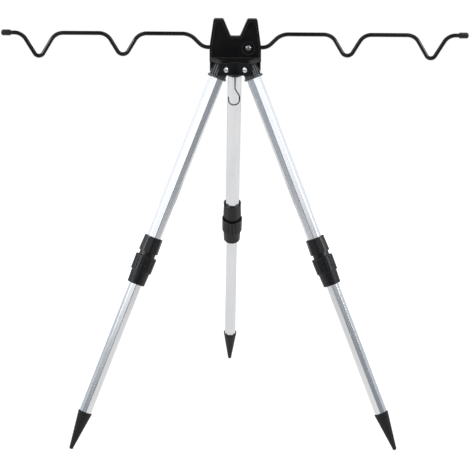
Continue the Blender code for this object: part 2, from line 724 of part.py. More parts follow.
def leg_top(side, leg):
    """The ribbed fitting that plugs into the tube and turns between the hub's cheeks."""
    stop = LEG_SLOT_CEILING - GAP
    face_top = (stop - FITTING_FACE * sin(SPLAY)) / cos(SPLAY)
    lean = sqrt(FITTING_NOSE ** 2 - stop ** 2)
    nose_start = atan2(stop, -lean) - SPLAY
    sunk = -(FLANGE_TOP + FLANGE_BOTTOM) / 2
    outline = [(FITTING_FACE, sunk), (FITTING_FACE, face_top)]
    outline += arc((0, 0), FITTING_NOSE, nose_start, pi, 8)
    outline.append((-FITTING_NOSE, sunk))
    body = flat("leg_top_" + side, outline, 2 * FITTING_HALF_WIDTH)
    body.data.transform(Matrix.Rotation(radians(90), 4, "X"))
    bm = bmesh.new()
    for k in (-1, 0, 1):
        centre = (FITTING_FACE, k * RIB_GROOVE_SPACING, 0)
        size = (2 * RIB_GROOVE_DEPTH, RIB_GROOVE_WIDTH, 2 * PAST, 1)
        bmesh.ops.create_cube(bm, size=1, matrix=Matrix.Translation(centre) @ Matrix.Diagonal(size))
    cut(body, cutter(mesh_object("rib_grooves_" + side, bm), leg))
    inside_edge = FLANGE_RADIUS - FLANGE_EDGE
    flange = turned("flange_" + side, [
        (0, -FLANGE_TOP), (inside_edge, -FLANGE_TOP), (FLANGE_RADIUS, -FLANGE_TOP - FLANGE_EDGE),
        (FLANGE_RADIUS, -FLANGE_BOTTOM + FLANGE_EDGE), (inside_edge, -FLANGE_BOTTOM), (0, -FLANGE_BOTTOM),
    ], 22)
    top = -FLANGE_BOTTOM + LAP
    half = SPIGOT_FLATS / 2
    spigot = faceted("spigot_" + side, [(0, top), (half, top), (half, -SPIGOT_END + SPIGOT_CHAMFER),
                                        (half - SPIGOT_CHAMFER, -SPIGOT_END), (0, -SPIGOT_END)])
    join(body, cutter(flange, leg), cutter(spigot, leg))
    hole = rod("fitting_hole_" + side, HINGE_SHANK_RADIUS + SCREW_CLEARANCE, -PAST, PAST)
    cut(body, cutter(hole, leg, rotation=TO_BACK))
    return part(body, FITTING_NYLON, leg)


def tube(name, flats, top, bottom, leg):
    """A drawn eight-sided tube between two distances down the leg."""
    outer = rounded(polygon(flats, TUBE_CORNER), step=radians(23))
    inner = rounded(polygon(flats - 2 * TUBE_WALL, TUBE_CORNER - TUBE_WALL), step=radians(45))
    made = flat(name, outer, bottom - top, inner)
    return part(made, BRIGHT_ALUMINIUM, leg, (0, 0, -(top + bottom) / 2))


def lock_sleeve(side, leg):
    """The tapered eight-sided sleeve on the upper tube, with the neck that the nut turns on."""
    sleeve = faceted("lock_sleeve_" + side, [
        (0, -SLEEVE_TOP), (SLEEVE_TOP_FLATS / 2, -SLEEVE_TOP),
        (SLEEVE_FOOT_FLATS / 2, -SLEEVE_BOTTOM), (0, -SLEEVE_BOTTOM),
    ])
    soften(sleeve, SLEEVE_CORNER)
    root = -SLEEVE_BOTTOM + LAP
    shoulder = -NUT_TOP + GAP
    neck = turned("neck_" + side, [
        (0, root), (COLLAR_RADIUS, root), (COLLAR_RADIUS, shoulder), (NECK_RADIUS, shoulder),
        (NECK_RADIUS, -NECK_END), (0, -NECK_END),
    ], 20)
    join(sleeve, cutter(neck, leg))
    wide = plug_profile((UPPER_TUBE_FLATS + SLIDING_FIT) / 2, -SLEEVE_TOP + LAP, -UPPER_TUBE_END - GAP)
    cut(sleeve, cutter(faceted("sleeve_bore_" + side, wide), leg))
    slim = plug_profile((LOWER_TUBE_FLATS + SLIDING_FIT) / 2, -SLEEVE_TOP + LAP, -NECK_END - LAP)
    cut(sleeve, cutter(faceted("neck_bore_" + side, slim), leg))
    return part(sleeve, BLACK_NYLON, leg)


def lock_collet(side, leg):
    """The split ring that the nut squeezes on the lower tube."""
    half_slit = atan2(COLLET_SLIT / 2, NECK_RADIUS)
    outline = arc((0, 0), NECK_RADIUS, half_slit, 2 * pi - half_slit, 23)
    corners = [(x, y) for x, y, _ in polygon(LOWER_TUBE_FLATS + SLIDING_FIT, 0)]
    inner_face = (LOWER_TUBE_FLATS + SLIDING_FIT) / 2
    outline += [(inner_face, -COLLET_SLIT / 2)] + corners[::-1] + [(inner_face, COLLET_SLIT / 2)]
    top = NECK_END + GAP
    ring = flat("lock_collet_" + side, outline, COLLET_END - top)
    return part(ring, COLLET_NYLON, leg, (0, 0, -(top + COLLET_END) / 2))


def lock_nut(side, leg):
    """The ribbed nut that clamps the lower tube, with its smooth cone below."""
    bore_radius = NECK_RADIUS + GAP
    shoulder = -COLLET_END - GAP
    nut = turned("lock_nut_" + side, [
        (bore_radius, -NUT_TOP), (NUT_TOP_RADIUS - NUT_EDGE, -NUT_TOP), (NUT_TOP_RADIUS, -NUT_TOP - NUT_EDGE),
        (NUT_STEP_RADIUS, -NUT_STEP + NUT_EDGE), (NUT_CONE_RADIUS, -NUT_STEP),
        (NUT_END_RADIUS, -NUT_BOTTOM + NUT_EDGE), (NUT_END_RADIUS - NUT_EDGE, -NUT_BOTTOM),
        (NUT_MOUTH_RADIUS, -NUT_BOTTOM), (NUT_MOUTH_RADIUS, shoulder), (bore_radius, shoulder),
    ], 32, start=pi / NUT_RIBS / 2, ring=True)
    taper = atan2(NUT_TOP_RADIUS - NUT_STEP_RADIUS, NUT_STEP - NUT_TOP)
    middle = -(NUT_TOP + NUT_STEP) / 2
    radius = (NUT_TOP_RADIUS + NUT_STEP_RADIUS) / 2
    height = NUT_STEP - NUT_TOP - 2 * NUT_GROOVE_MARGIN
    bm = bmesh.new()
    for k in range(NUT_RIBS):
        turn = Matrix.Rotation(2 * pi * k / NUT_RIBS, 4, "Z")
        out = Matrix.Translation((radius, 0, middle)) @ Matrix.Rotation(taper, 4, "Y")
        size = Matrix.Diagonal((2 * NUT_GROOVE_DEPTH, NUT_GROOVE_WIDTH, height, 1))
        bmesh.ops.create_cube(bm, size=1, matrix=turn @ out @ size)
    cut(nut, cutter(mesh_object("nut_grooves_" + side, bm), leg))
    return part(nut, BLACK_NYLON, leg)


def guide_plug(side, leg):
    """The plug that guides the lower tube's top inside the upper tube."""
    guide = (UPPER_TUBE_FLATS - 2 * TUBE_WALL) / 2 - GAP
    stem = (LOWER_TUBE_FLATS - 2 * TUBE_WALL) / 2 - GAP
    top = -LOWER_TUBE_TOP + PLUG_HEAD
    seat = -LOWER_TUBE_TOP + GAP
    bottom = -LOWER_TUBE_TOP - PLUG_STEM
    plug = faceted("guide_plug_" + side, [(0, top), (guide, top), (guide, seat), (stem, seat),
                                          (stem, bottom), (0, bottom)])
    return part(plug, COLLET_NYLON, leg)


def foot_spike(side, leg):
    """The pointed foot, whose plug fills the lower tube's end."""
    slope = atan2(SPIKE_RADIUS - POINT_RADIUS, POINT_CENTRE - SPIKE_TOP)
    tip = [(POINT_RADIUS * cos(a), -POINT_CENTRE - POINT_RADIUS * sin(a))
           for a in [(pi / 2 + slope) * k / 4 - slope for k in range(4)]]
    rim = SPIKE_RADIUS - SPIKE_RIM
    profile = [(0, -SPIKE_TOP), (rim, -SPIKE_TOP), (SPIKE_RADIUS, -SPIKE_TOP - SPIKE_RIM)]
    profile += tip + [(0, -POINT_CENTRE - POINT_RADIUS)]
    spike = turned("foot_spike_" + side, profile, 20)
    half = (LOWER_TUBE_FLATS - 2 * TUBE_WALL) / 2 - GAP
    profile = plug_profile(half, -SPIKE_TOP + SPIKE_PLUG, -SPIKE_TOP - LAP)
    join(spike, cutter(faceted("spike_plug_" + side, profile), leg))
    return part(spike, SPIKE_PLASTIC, leg)


def leg_pieces(side, leg):
    leg_top(side, leg)
    tube("upper_tube_" + side, UPPER_TUBE_FLATS, FLANGE_BOTTOM + GAP, UPPER_TUBE_END, leg)
    lock_sleeve(side, leg)
    lock_collet(side, leg)
    lock_nut(side, leg)
    tube("lower_tube_" + side, LOWER_TUBE_FLATS, LOWER_TUBE_TOP, SPIKE_TOP - GAP, leg)
    guide_plug(side, leg)
    foot_spike(side, leg)


def arm_path():
    """The arm's centre line from its eye outwards: a jog up, then two V rests."""
    run = ARM_RUN_Z - ARM_PIVOT_Z
    jog = JOG_BEND_X - ARM_PIVOT_X
    start = HINGE_SHANK_RADIUS + WIRE_RADIUS
    corners = [(start, 0, 0), (jog, 0, JOG_LOW_BEND), (jog + run, run, JOG_HIGH_BEND)]
    for rest, lowest, bend_radius in RESTS:
        x = rest - ARM_PIVOT_X
        point = lowest - ARM_PIVOT_Z - bend_radius * (1 / cos(REST_LIMB_ANGLE) - 1)
        half = (run - point) / tan(REST_LIMB_ANGLE)
        corners.append((x - half, run, TOP_BEND_RADIUS))
        corners.append((x, point, bend_radius))
        corners.append((x + half, run, TOP_BEND_RADIUS))
    corners.append((ARM_END_X - ARM_PIVOT_X - CAP_HOLLOW, run, 0))
    return rounded(corners, closed=False)


def arm(side, arm_frame):
    """One wire arm with the flat eye that turns on its screw, and its end cap."""
    bent = wire("arm_" + side, arm_path(), WIRE_RADIUS)
    hole = HINGE_SHANK_RADIUS + SCREW_CLEARANCE
    half = EYE_THICKNESS / 2
    eye = turned("eye_" + side, [
        (hole, half), (EYE_RADIUS - EYE_EDGE, half), (EYE_RADIUS, half - EYE_EDGE),
        (EYE_RADIUS, EYE_EDGE - half), (EYE_RADIUS - EYE_EDGE, -half), (hole, -half),
    ], 20, ring=True)
    join(bent, cutter(eye, arm_frame, rotation=TO_BACK))
    part(bent, COATED_WIRE, arm_frame)
    room = WIRE_RADIUS + GAP
    end = CAP_LENGTH - CAP_HOLLOW + GAP
    cap = turned("arm_cap_" + side, [
        (0, CAP_LENGTH), (CAP_RADIUS * 0.42, CAP_LENGTH - CAP_RADIUS * 0.07),
        (CAP_RADIUS * 0.77, CAP_LENGTH - CAP_RADIUS * 0.28), (CAP_RADIUS, CAP_LENGTH - CAP_RADIUS * 0.75),
        (CAP_RADIUS, CAP_MOUTH), (CAP_RADIUS - CAP_MOUTH, 0),
        (room, 0), (room, end), (0, end),
    ], 14)
    run = ARM_RUN_Z - ARM_PIVOT_Z
    part(cap, CAP_RUBBER, arm_frame, (ARM_END_X - CAP_LENGTH - ARM_PIVOT_X, 0, run), (0, radians(90), 0))


def hook(head):
    """The swivel hook and the small eyelet that holds it in the hub's boss."""
    bent = wire("hook", rounded(HOOK_CORNERS, closed=False, step=radians(20)), HOOK_RADIUS)
    button = rod("hook_button", BUTTON_RADIUS, HOOK_TOP - BUTTON_HALF, HOOK_TOP + BUTTON_HALF)
    join(bent, cutter(button, head))
    part(bent, HOOK_STEEL, head)
    top = HOOK_TOP - BUTTON_HALF - GAP
    hole = HOOK_RADIUS + GAP
    seat = -BOSS_BOTTOM - GAP
    eyelet = turned("hook_eyelet", [
        (hole, top), (EYELET_RADIUS, top), (EYELET_RADIUS, seat), (EYELET_FLANGE_RADIUS, seat),
        (EYELET_FLANGE_RADIUS, seat - EYELET_FLANGE), (EYELET_RADIUS, seat - EYELET_FLANGE - EYELET_LIP),
        (hole, seat - EYELET_FLANGE - EYELET_LIP),
    ], 12, ring=True)
    part(eyelet, HOOK_STEEL, head)


def build():
    f = frames()
    head = f["head"]
    head_front(head)
    head_back(head)
    hub(head, f)
    head_screws(head)
    hook(head)
    for side in LEG_AZIMUTHS:
        hinge_hardware(side, f["hinge_" + side])
        leg_pieces(side, f["leg_" + side])
    for side in ("left", "right"):
        arm(side, f["arm_" + side])
    bpy.context.view_layer.update()


build()
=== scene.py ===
"""Looks of the folding rod tripod: finely made pieces, their finishes, the studio and the camera.

Lengths are metres. Head sizes are counted from the level of the leg hinges, on the tripod's upright
axis. Leg sizes are counted from the leg's own hinge, down along the leg.
"""

import json
from math import atan2, cos, pi, radians, sin, tan

import bmesh
import bpy
from mathutils import Matrix, Vector


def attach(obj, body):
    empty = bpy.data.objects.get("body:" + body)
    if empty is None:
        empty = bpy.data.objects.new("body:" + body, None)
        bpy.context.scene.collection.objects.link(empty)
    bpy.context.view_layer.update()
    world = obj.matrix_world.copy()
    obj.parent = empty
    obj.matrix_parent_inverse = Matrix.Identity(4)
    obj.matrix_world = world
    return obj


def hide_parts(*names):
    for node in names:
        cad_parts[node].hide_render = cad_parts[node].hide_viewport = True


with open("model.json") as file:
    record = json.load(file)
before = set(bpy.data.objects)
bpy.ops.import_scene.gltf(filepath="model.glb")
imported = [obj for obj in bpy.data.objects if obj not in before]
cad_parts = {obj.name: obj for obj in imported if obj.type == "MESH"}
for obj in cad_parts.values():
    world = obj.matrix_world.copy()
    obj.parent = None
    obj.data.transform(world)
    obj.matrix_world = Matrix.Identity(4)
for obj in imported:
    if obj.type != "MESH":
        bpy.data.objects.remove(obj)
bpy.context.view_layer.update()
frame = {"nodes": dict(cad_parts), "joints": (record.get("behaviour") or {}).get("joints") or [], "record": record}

SIDES = ("left", "right", "rear")
ARM_SIDES = ("left", "right")
SIGN = {"left": -1, "right": 1}
UPRIGHT = (0, 0, 1)

# Places of the joints, read from the frame
JOINTS = {joint["name"]: joint for joint in frame["joints"]}
PIVOT_HEIGHT = JOINTS["leg_fold_rear"]["pos_m"][2]
AXIS_Y = JOINTS["hook_turn"]["pos_m"][1]

# Which body each CAD node rides on
BODIES = frame["record"]["behaviour"]["bodies"]
BODY_OF = {node: body for body, nodes in BODIES.items() for node in nodes}

# Clearance between neighbours, how far a cutter goes past, and the distance that points are welded over
GAP = 0.0003
PAST = 0.001
WELD = 0.000001

# Leg sizes
TUBE_SIDES = 8
UPPER_TUBE_FLATS = 0.0202
LOWER_TUBE_FLATS = 0.0172
TUBE_WALL = 0.0012
TUBE_CORNER = 0.0016
FLANGE_BOTTOM = 0.01575
UPPER_TUBE_END = 0.2875
LOWER_TUBE_TOP = 0.2500
SPIKE_TOP = 0.5428
SPIKE_RADIUS = 0.0105
SPIKE_RIM = 0.0006
SPIKE_PLUG = 0.0150
SPIKE_PLUG_RADIUS = 0.0071
POINT_CENTRE = 0.5989
POINT_RADIUS = 0.0030
SPIKE_END = POINT_CENTRE + POINT_RADIUS

# Twist lock sizes
SLEEVE_TOP = 0.2660
SLEEVE_BOTTOM = 0.2895
SLEEVE_TOP_FLATS = 0.0268
SLEEVE_FOOT_FLATS = 0.0283
SLEEVE_CORNER = 0.0060
COLLAR_RADIUS = 0.0121
NECK_RADIUS = 0.0105
NECK_END = 0.3160
NUT_TOP = 0.2960
NUT_STEP = 0.3198
NUT_BOTTOM = 0.3395
NUT_TOP_RADIUS = 0.0159
NUT_STEP_RADIUS = 0.0156
NUT_CONE_RADIUS = 0.0138
NUT_END_RADIUS = 0.0130
NUT_MOUTH_RADIUS = 0.0097
NUT_RIBS = 16
NUT_GROOVE_RADIUS = 0.0009
NUT_GROOVE_MARGIN = 0.0018
COLLET_END = 0.3310
SLIDING_FIT = 0.0006
BORE_CORNER = 0.0004
NUT_EDGE = 0.0006
NUT_STEP_EDGE = 0.0004
NUT_STEP_DROP = 0.0002
NUT_FILLET = 0.0003
NUT_FILLET_DROP = 0.0004
NUT_END_RISE = 0.0007

# Screw sizes
M4_RADIUS = 0.0020
M4_HEAD_RADIUS = 0.0040
HINGE_SCREW_HEAD = 0.0026
ARM_SCREW_HEAD = 0.0024
ARM_SCREW_LENGTH = 0.0095
ARM_PIVOT_X = 0.0191
ARM_PIVOT_Z = 0.0277
SCREW_SEATS = {"left": 0.0113, "right": 0.0013}
SHELL_SCREW_PLACES = ((-0.0245, 0.0580), (0.0245, 0.0580), (0.0, 0.0320), (0.0, 0.0180))
SHELL_SEAT = 0.0117
SHELL_SCREW_LENGTH = 0.0102
SHELL_HEAD_RADIUS = 0.0028
SHELL_HEAD_HEIGHT = 0.0018
SHELL_SHANK_RADIUS = 0.0015
SCREW_EDGE = 0.0002
SCREW_CHAMFER = 0.0006
# The driver's recess, as shares of the head's radius and height, and how much its floor is drawn in
SLOT_WIDTH_SHARE = 0.24
SLOT_REACH_SHARE = 0.58
SLOT_FLOOR_SHARE = 0.18
SLOT_TAPER = (0.45, 0.7, 1)
# How high a screw head's side stands, as a share of the head's height
HEAD_EDGE_SHARE = 0.42
# The side of its fork that each hinge screw's head is on, along the hinge's own axis
FRONT_CHEEK = {"left": 1, "right": -1, "rear": 1}
LOBE_HALF_WIDTH = 0.0150

# Arm sizes
WIRE_RADIUS = 0.0030
ARM_RUN_Z = 0.0475
JOG_BEND_X = 0.0473
JOG_LOW_BEND = 0.0190
JOG_HIGH_BEND = 0.0260
TOP_BEND_RADIUS = 0.0200
REST_LIMB_ANGLE = radians(59)
# Each rest's place along the arm, its lowest level and its bend radius
RESTS = ((0.1651, 0.0165, 0.0090), (0.2883, 0.0133, 0.0073))
ARM_END_X = 0.3432
CAP_RADIUS = 0.0044
CAP_LENGTH = 0.0140
CAP_HOLLOW = 0.0022
CAP_DOME = 0.0032
CAP_LIP = 0.0006
CAP_LIP_MIDDLE = 0.0002
EYE_RADIUS = 0.0070
EYE_THICKNESS = 0.0052
EYE_EDGE = 0.0008

# Hook sizes
BOSS_BOTTOM = 0.0140
HOOK_RADIUS = 0.0011
HOOK_TOP = -0.0099
HOOK_CORNERS = (
    (0.0, HOOK_TOP, 0.0),
    (0.0, -0.0330, 0.0040),
    (0.0068, -0.0435, 0.0050),
    (0.0068, -0.0570, 0.0076),
    (-0.0083, -0.0570, 0.0070),
    (-0.0098, -0.0450, 0.0),
)
BUTTON_RADIUS = 0.0019
BUTTON_HALF = 0.0006
BUTTON_EDGE = 0.0003
EYELET_RADIUS = 0.0022
EYELET_RIM = 0.0028
EYELET_EDGE = 0.0002
EYELET_RIM_DEPTH = 0.0008
EYELET_TIP = 0.0021
EYELET_DEPTH = 0.0019

# How wide the edges of the finished pieces are rounded
SHELL_ROUNDING = 0.00028
HUB_ROUNDING = 0.00030
FITTING_ROUNDING = 0.00022
SCREW_ROUNDING = 0.00008
HINGE_NUT_ROUNDING = 0.00012
TUBE_ROUNDING = 0.00018
SLEEVE_ROUNDING = 0.0005
TWIST_NUT_ROUNDING = 0.00016
HOOK_ROUNDING = 0.0003
EYELET_ROUNDING = 0.0001

# Camera, from the photo's own perspective
CAMERA_PLACE = Vector((-0.0472, -2.8464, 1.0515))
CAMERA_PAN = radians(1.018)
CAMERA_TILT = radians(15.319)
CAMERA_ROLL = radians(0.56)
CAMERA_LENS_MM = 146.5
CAMERA_SENSOR_MM = 36
CAMERA_CLIP = (0.05, 60)


def leg_matrix(side):
    """The place of one leg: its hinge is the origin, Z runs up the leg and X away from the others."""
    up = Vector(JOINTS["leg_slide_" + side]["axis"]).normalized()
    across = Vector(JOINTS["leg_fold_" + side]["axis"]).normalized()
    turn = Matrix((across.cross(up), across, up)).transposed()
    return Matrix.Translation(JOINTS["leg_fold_" + side]["pos_m"]) @ turn.to_4x4()


def arm_matrix(side):
    """The place of one arm: its screw is the origin and X runs outwards along the arm."""
    across = Vector(JOINTS["arm_fold_" + side]["axis"])
    up = Vector(UPRIGHT)
    turn = Matrix((across.cross(up), across, up)).transposed()
    return Matrix.Translation(JOINTS["arm_fold_" + side]["pos_m"]) @ turn.to_4x4()


HEAD_PLACE = Matrix.Translation((0, AXIS_Y, PIVOT_HEIGHT))
LEG_PLACE = {side: leg_matrix(side) for side in SIDES}
ARM_PLACE = {side: arm_matrix(side) for side in ARM_SIDES}


# Materials

BLACK = (0, 0, 0)
WHITE = (1, 1, 1)
MOULDED_DARK = (0.0035, 0.0035, 0.004)
MOULDED_LIGHT = (0.0075, 0.0075, 0.008)
FITTING_DARK = (0.016, 0.016, 0.018)
FITTING_LIGHT = (0.028, 0.028, 0.031)
# The hub's painted top light, laid on its outer up-facing tops
PAINTED_TOP_LIGHT = (0.085, 0.085, 0.090)
LOCK_DARK = (0.0035, 0.0035, 0.004)
LOCK_LIGHT = (0.0085, 0.0085, 0.0095)
LOCK_RUBBED = (0.045, 0.045, 0.050)
SPIKE_DARK = (0.004, 0.004, 0.0045)
SPIKE_LIGHT = (0.011, 0.011, 0.012)
SPIKE_STREAK = (0.034, 0.034, 0.036)
SPIKE_SCUFF = (0.085, 0.083, 0.080)
TUBE_DARK = (0.81, 0.813, 0.822)
TUBE_LIGHT = (0.90, 0.903, 0.91)
TUBE_CLOUD = (0.925, 0.932, 0.945)
CHROME = (0.88, 0.88, 0.89)
# A darker chrome: painted shade for the pivot screws sunk in their dishes
SHADED_CHROME = (0.52, 0.52, 0.53)
DARK_STEEL = (0.22, 0.225, 0.24)
WIRE_DARK = (0.002, 0.002, 0.0023)
WIRE_LIGHT = (0.0045, 0.0045, 0.005)
RUBBER_DARK = (0.006, 0.006, 0.0065)
RUBBER_LIGHT = (0.012, 0.012, 0.013)
NYLON_DARK = (0.56, 0.56, 0.53)
NYLON_LIGHT = (0.64, 0.64, 0.61)

# How strongly rubbed edges show, and how much lighter than the plastic they are; on the moulded plastic this lift
# is also a painted highlight along rims and ribs
MOULDED_WEAR_AND_SHEEN = (0.8, 0.8, 0.8)
LOCK_WEAR = (0.6, 0.6, 0.6)
WEAR_AND_SHEEN_LIFT = 2.4
# Painted light on what looks up: tops are lightened outside this distance from the middle plane, and left as they
# are within it
TOP_LIGHT_START = 0.018
TOP_LIGHT_FULL = 0.025
# The part of a foot, from its point up, that is scuffed
SCUFF_REACH = 0.022


class Finish:
    """A Principled material whose pattern is noise on the object's own coordinates."""

    def __init__(self, name, metallic=0.0, place=None):
        self.material = bpy.data.materials.new(name)
        self.material.use_nodes = True
        self.tree = self.material.node_tree
        self.surface = self.tree.nodes["Principled BSDF"]
        self.surface.inputs["Metallic"].default_value = metallic
        self.normal = None
        where = self.node("ShaderNodeTexCoord")
        self.where = self.node("ShaderNodeMapping")
        self.link(where.outputs["Object"], self.where.inputs["Vector"])
        if place is not None:
            inward = place.inverted()
            self.where.inputs["Rotation"].default_value = inward.to_euler()
            self.where.inputs["Location"].default_value = inward.to_translation()

    def node(self, kind):
        return self.tree.nodes.new(kind)

    def link(self, out, into):
        self.tree.links.new(out, into)

    def set(self, **values):
        """Constants on the shader's own sockets, with spaces in their names as underscores."""
        for name, value in values.items():
            self.surface.inputs[name.replace("_", " ")].default_value = value

    def stretched(self, scale):
        """The coordinates scaled by unlike amounts, for streaks along an axis."""
        scaled = self.node("ShaderNodeMapping")
        scaled.inputs["Scale"].default_value = scale
        self.link(self.where.outputs["Vector"], scaled.inputs["Vector"])
        return scaled.outputs["Vector"]

    def noise(self, scale, detail=3.0, roughness=0.5, vector=None):
        """Noise between 0 and 1, on the piece's own coordinates or on the ones given."""
        texture = self.node("ShaderNodeTexNoise")
        texture.inputs["Scale"].default_value = scale
        texture.inputs["Detail"].default_value = detail
        texture.inputs["Roughness"].default_value = roughness
        self.link(vector or self.where.outputs["Vector"], texture.inputs["Vector"])
        return texture.outputs["Fac"]

    def ramp(self, factor, stops):
        """Colours or grey levels along a factor, from (position, value) stops."""
        made = self.node("ShaderNodeValToRGB")
        elements = made.color_ramp.elements
        while len(elements) < len(stops):
            elements.new(0.5)
        for element, (position, value) in zip(elements, stops):
            element.position = position
            element.color = (*value, 1) if isinstance(value, tuple) else (value, value, value, 1)
        self.link(factor, made.inputs["Fac"])
        return made.outputs["Color"]

    def mix(self, factor, first, second, blend="MIX"):
        """A blend of two colours, each given as an output, a tuple or a number."""
        made = self.node("ShaderNodeMix")
        made.data_type = "RGBA"
        made.blend_type = blend
        for name, value in (("Factor", factor), ("A", first), ("B", second)):
            socket = made.inputs[name]
            if isinstance(value, bpy.types.NodeSocket):
                self.link(value, socket)
            elif isinstance(value, tuple):
                socket.default_value = (*value, 1)
            else:
                socket.default_value = value
        return made.outputs["Result"]

    def colour(self, output):
        """The surface's base colour."""
        self.link(output, self.surface.inputs["Base Color"])

    def roughness(self, factor, low, high, start=0.3, end=0.7):
        """The surface's roughness, from low to high while the factor goes from start to end."""
        self.link(self.ramp(factor, [(start, low), (end, high)]), self.surface.inputs["Roughness"])

    def bump(self, height, distance, strength=1.0):
        """A bump over the ones before it."""
        made = self.node("ShaderNodeBump")
        made.inputs["Distance"].default_value = distance
        made.inputs["Strength"].default_value = strength
        self.link(height, made.inputs["Height"])
        if self.normal is not None:
            self.link(self.normal, made.inputs["Normal"])
        self.normal = made.outputs["Normal"]
        self.link(self.normal, self.surface.inputs["Normal"])

    def convex_edge_mask(self, radius, low, high):
        """White along convex edges, where a rounded normal leaves the real one."""
        rounding = self.node("ShaderNodeBevel")
        rounding.samples = 4
        rounding.inputs["Radius"].default_value = radius
        geometry = self.node("ShaderNodeNewGeometry")
        product = self.node("ShaderNodeVectorMath")
        product.operation = "DOT_PRODUCT"
        self.link(rounding.outputs["Normal"], product.inputs[0])
        self.link(geometry.outputs["Normal"], product.inputs[1])
        return self.ramp(product.outputs["Value"], [(low, 1.0), (high, 0.0)])

    def outward(self, near, far):
        """White beyond a distance from the upright middle plane, black within it."""
        parts = self.node("ShaderNodeSeparateXYZ")
        self.link(self.where.outputs["Vector"], parts.inputs[0])
        distance = self.node("ShaderNodeMath")
        distance.operation = "ABSOLUTE"
        self.link(parts.outputs["X"], distance.inputs[0])
        spread = self.node("ShaderNodeMapRange")
        spread.inputs["From Min"].default_value = near
        spread.inputs["From Max"].default_value = far
        self.link(distance.outputs[0], spread.inputs["Value"])
        return spread.outputs["Result"]

    def facing_up(self, low, high):
        """White where the surface looks up: the mask of the painted light on tops."""
        geometry = self.node("ShaderNodeNewGeometry")
        parts = self.node("ShaderNodeSeparateXYZ")
        self.link(geometry.outputs["Normal"], parts.inputs[0])
        return self.ramp(parts.outputs["Z"], [(low, 0.0), (high, 1.0)])


def moulded_plastic(name, dark, light, gloss, shine, wear_and_sheen_reach, pale=0.075, top_light=None):
    """Black moulded plastic: fine grain, faint clouds, rubbed edges lightened also as a painted highlight and,
    where a top tone is given, painted light on the outer tops.
    """
    made = Finish(name)
    made.set(Specular_IOR_Level=shine)
    clouds = made.noise(55, 4.0)
    base = made.ramp(clouds, [(0.32, dark), (0.70, light)])
    # Convex edges: partly rubbed wear, partly a painted highlight along the rims and ribs
    edge_mask = made.convex_edge_mask(wear_and_sheen_reach, 0.88, 0.992)
    edge = tuple(value * WEAR_AND_SHEEN_LIFT + pale for value in light)
    worn_and_lit = made.mix(made.mix(edge_mask, BLACK, MOULDED_WEAR_AND_SHEEN), base, edge)
    # Painted light: the outer up-facing tops are lightened in patches where the lamps would catch them
    if top_light is not None:
        patchy = made.ramp(made.noise(260, 4.0, 0.6), [(0.35, 0.55), (0.60, 1.0)])
        above = made.mix(1.0, made.facing_up(0.70, 0.92), made.outward(TOP_LIGHT_START, TOP_LIGHT_FULL), "MULTIPLY")
        worn_and_lit = made.mix(made.mix(1.0, above, patchy, "MULTIPLY"), worn_and_lit, top_light)
    made.colour(worn_and_lit)
    made.roughness(made.noise(420, 5.0, 0.6), gloss - 0.06, gloss + 0.09)
    made.bump(made.noise(2600, 3.0, 0.6), 0.00003, 0.5)
    made.bump(made.noise(90, 2.0), 0.00012, 0.12)
    return made.material


def ribbed_plastic(side):
    """The twist locks' satin black plastic, with drag marks along the leg."""
    made = Finish("lock_plastic_" + side, place=LEG_PLACE[side])
    made.set(Specular_IOR_Level=0.38)
    streaks = made.noise(1, 4.0, 0.6, made.stretched((1400, 1400, 60)))
    base = made.ramp(streaks, [(0.30, LOCK_DARK), (0.75, LOCK_LIGHT)])
    edge_mask = made.convex_edge_mask(0.0005, 0.84, 0.98)
    made.colour(made.mix(made.mix(edge_mask, BLACK, LOCK_WEAR), base, LOCK_RUBBED))
    made.roughness(made.noise(700, 5.0, 0.6), 0.24, 0.38)
    made.bump(streaks, 0.00003, 0.4)
    made.bump(made.noise(3000, 2.0), 0.00002, 0.5)
    return made.material


def spike_plastic(side):
    """The feet's dark plastic, streaked down the cone and scuffed pale near the point."""
    made = Finish("spike_plastic_" + side, place=LEG_PLACE[side])
    made.set(Specular_IOR_Level=0.28)
    streaks = made.noise(1, 5.0, 0.65, made.stretched((900, 900, 38)))
    base = made.ramp(streaks, [(0.30, SPIKE_DARK), (0.62, SPIKE_LIGHT), (0.85, SPIKE_STREAK)])
    height = made.node("ShaderNodeSeparateXYZ")
    made.link(made.where.outputs["Vector"], height.inputs["Vector"])
    reach = made.node("ShaderNodeMapRange")
    reach.inputs["From Min"].default_value = -SPIKE_END + SCUFF_REACH
    reach.inputs["From Max"].default_value = -SPIKE_END
    made.link(height.outputs["Z"], reach.inputs["Value"])
    scuffs = made.ramp(made.noise(1600, 4.0, 0.7), [(0.52, 0.0), (0.68, 1.0)])
    near_tip = made.mix(1.0, scuffs, reach.outputs["Result"], "MULTIPLY")
    made.colour(made.mix(near_tip, base, SPIKE_SCUFF))
    made.roughness(streaks, 0.38, 0.60)
    made.bump(streaks, 0.00006, 0.5)
    made.bump(made.noise(2400, 3.0), 0.00003, 0.5)
    return made.material


def drawn_aluminium(side):
    """Bright anodised tube: die lines along the leg, soft cloudiness and a few fine scratches."""
    made = Finish("drawn_aluminium_" + side, metallic=1.0, place=LEG_PLACE[side])
    lines = made.noise(1, 5.0, 0.6, made.stretched((2200, 2200, 9)))
    clouds = made.noise(1, 3.0, 0.5, made.stretched((60, 60, 14)))
    base = made.ramp(lines, [(0.25, TUBE_DARK), (0.75, TUBE_LIGHT)])
    tint = made.ramp(clouds, [(0.30, TUBE_CLOUD), (0.65, WHITE)])
    made.colour(made.mix(1.0, base, tint, "MULTIPLY"))
    marks = made.noise(1, 2.0, 0.4, made.stretched((420, 420, 160)))
    scratches = made.ramp(marks, [(0.68, 0.0), (0.74, 1.0)])
    made.roughness(made.mix(0.25, lines, scratches), 0.20, 0.36, 0.25, 0.75)
    made.bump(lines, 0.00002, 0.20)
    return made.material


